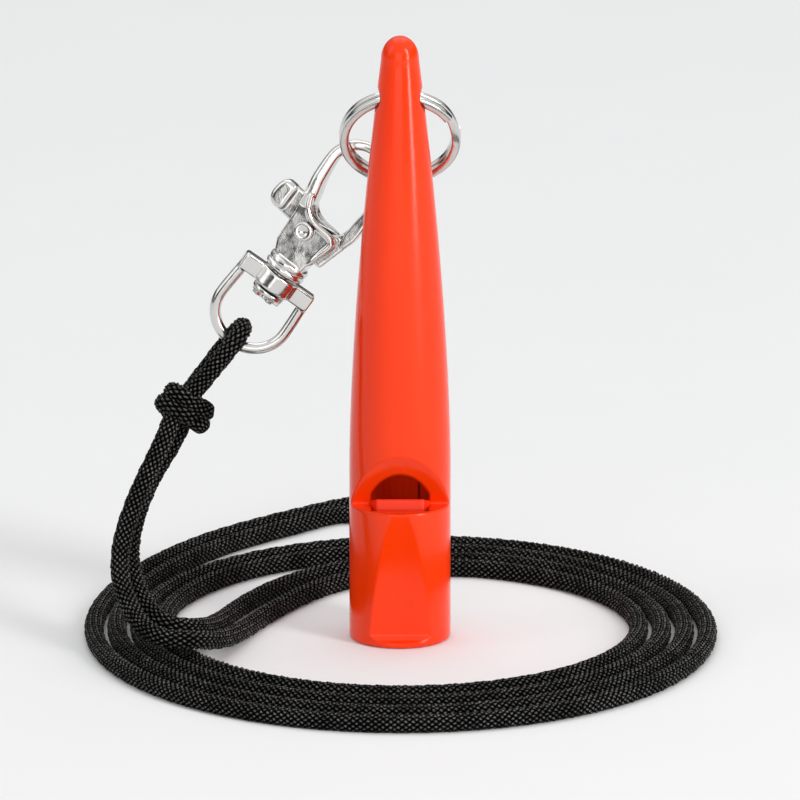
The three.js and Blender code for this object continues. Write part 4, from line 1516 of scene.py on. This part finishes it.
@dataclass(frozen=True)
class Softbox:
    """One soft lamp, aimed at the middle of the whistle."""

    name: str
    azimuth: float
    elevation: float
    distance: float
    size: Pair
    power: float

    def build(self, aim: Vector) -> None:
        """Sets the lamp up, with its azimuth to the right of the camera, in degrees.

        Args:
            aim: The point that it shines at.
        """
        turn, rise = math.radians(self.azimuth), math.radians(self.elevation)
        way = Vector((math.sin(turn) * math.cos(rise), -math.cos(turn) * math.cos(rise), math.sin(rise)))
        bpy.ops.object.light_add(type="AREA", location=aim + way * self.distance)
        lamp = bpy.context.object
        lamp.name = self.name
        lamp.rotation_euler = way.to_track_quat("Z", "Y").to_euler()
        lamp.data.shape = "RECTANGLE"
        lamp.data.size, lamp.data.size_y = self.size
        lamp.data.energy = self.power


@dataclass
class Studio:
    """The camera, the pale floor and the soft light."""

    elevation: float = math.radians(15)
    distance: float = 2.4
    view_width: float = 0.10586
    aim: Point = (0, 0, 0.0324)
    sensor_mm: float = 36
    sky: float = 0.325
    mirrored: float = 0.5
    lamp_aim: Point = (0, 0, 0.04)
    air_levels: tuple[Pair, ...] = (
        (0.0, 0.5), (0.05, 0.4), (0.11, 0.12), (0.24, 0.12), (0.34, 1.4), (0.7, 1.7), (1.0, 2.1))

    def camera(self) -> None:
        """Sets up the long lens a little above the object."""
        way = Vector((0, -math.cos(self.elevation), math.sin(self.elevation)))
        bpy.ops.object.camera_add(location=Vector(self.aim) + way * self.distance,
                                  rotation=(math.pi / 2 - self.elevation, 0, 0))
        camera = bpy.context.object
        camera.name = "camera"
        camera.data.sensor_width = self.sensor_mm
        camera.data.lens = self.sensor_mm * self.distance / self.view_width
        camera.data.clip_end = 20
        bpy.context.scene.camera = camera

    def floor(self) -> None:
        """Lays the pale paper."""
        bpy.ops.mesh.primitive_plane_add(size=8, location=(0, 0, -0.00002))
        floor = bpy.context.object
        floor.name = "studio_floor"
        floor.data.materials.append(PaperFinish().make())

    def air(self) -> None:
        """Lights the room, brighter overhead than at the sides, so that metal has something to mirror."""
        world = bpy.data.worlds.new("studio_air")
        bpy.context.scene.world = world
        world.use_nodes = True
        tree = world.node_tree
        split = tree.nodes.new("ShaderNodeSeparateXYZ")
        tree.links.new(tree.nodes.new("ShaderNodeTexCoord").outputs["Generated"], split.inputs[0])
        ramp = tree.nodes.new("ShaderNodeValToRGB")
        for i, (spot, level) in enumerate(self.air_levels):
            element = ramp.color_ramp.elements[i] if i < 2 else ramp.color_ramp.elements.new(spot)
            element.position = spot
            element.color = (level, level, level, 1)
        tree.links.new(split.outputs["Z"], ramp.inputs[0])
        back = tree.nodes["Background"]
        tree.links.new(ramp.outputs[0], back.inputs["Color"])
        seen = tree.nodes.new("ShaderNodeMapRange")
        seen.inputs["To Min"].default_value = self.sky
        seen.inputs["To Max"].default_value = self.mirrored
        tree.links.new(tree.nodes.new("ShaderNodeLightPath").outputs["Is Glossy Ray"], seen.inputs["Value"])
        tree.links.new(seen.outputs["Result"], back.inputs["Strength"])

    def build(self) -> None:
        """Makes the studio round the object."""
        self.floor()
        self.air()
        lamps = [
            Softbox("right_strip", 50, 14, 1.0, (0.23, 1.1), 9.2),
            Softbox("left_softbox", -75, 30, 1.1, (0.5, 0.9), 1.2),
            Softbox("top_softbox", 180, 68, 1.3, (1.3, 1.1), 5.2),
            Softbox("front_fill", -8, 13, 1.7, (1.2, 0.8), 5.5),
        ]
        for lamp in lamps:
            lamp.build(Vector(self.lamp_aim))
        bpy.context.scene.view_settings.view_transform = "Standard"


def main() -> None:
    """Builds the studio and the object."""
    logging.basicConfig(level=logging.INFO, format="%(name)s %(message)s")
    studio = Studio()
    studio.camera()
    clasp = Clasp()
    NeckCord(clasp.wire_middle()).build()
    Whistle().build()
    SplitRing().build()
    clasp.build()
    studio.build()


if __name__ == "__main__":
    main()
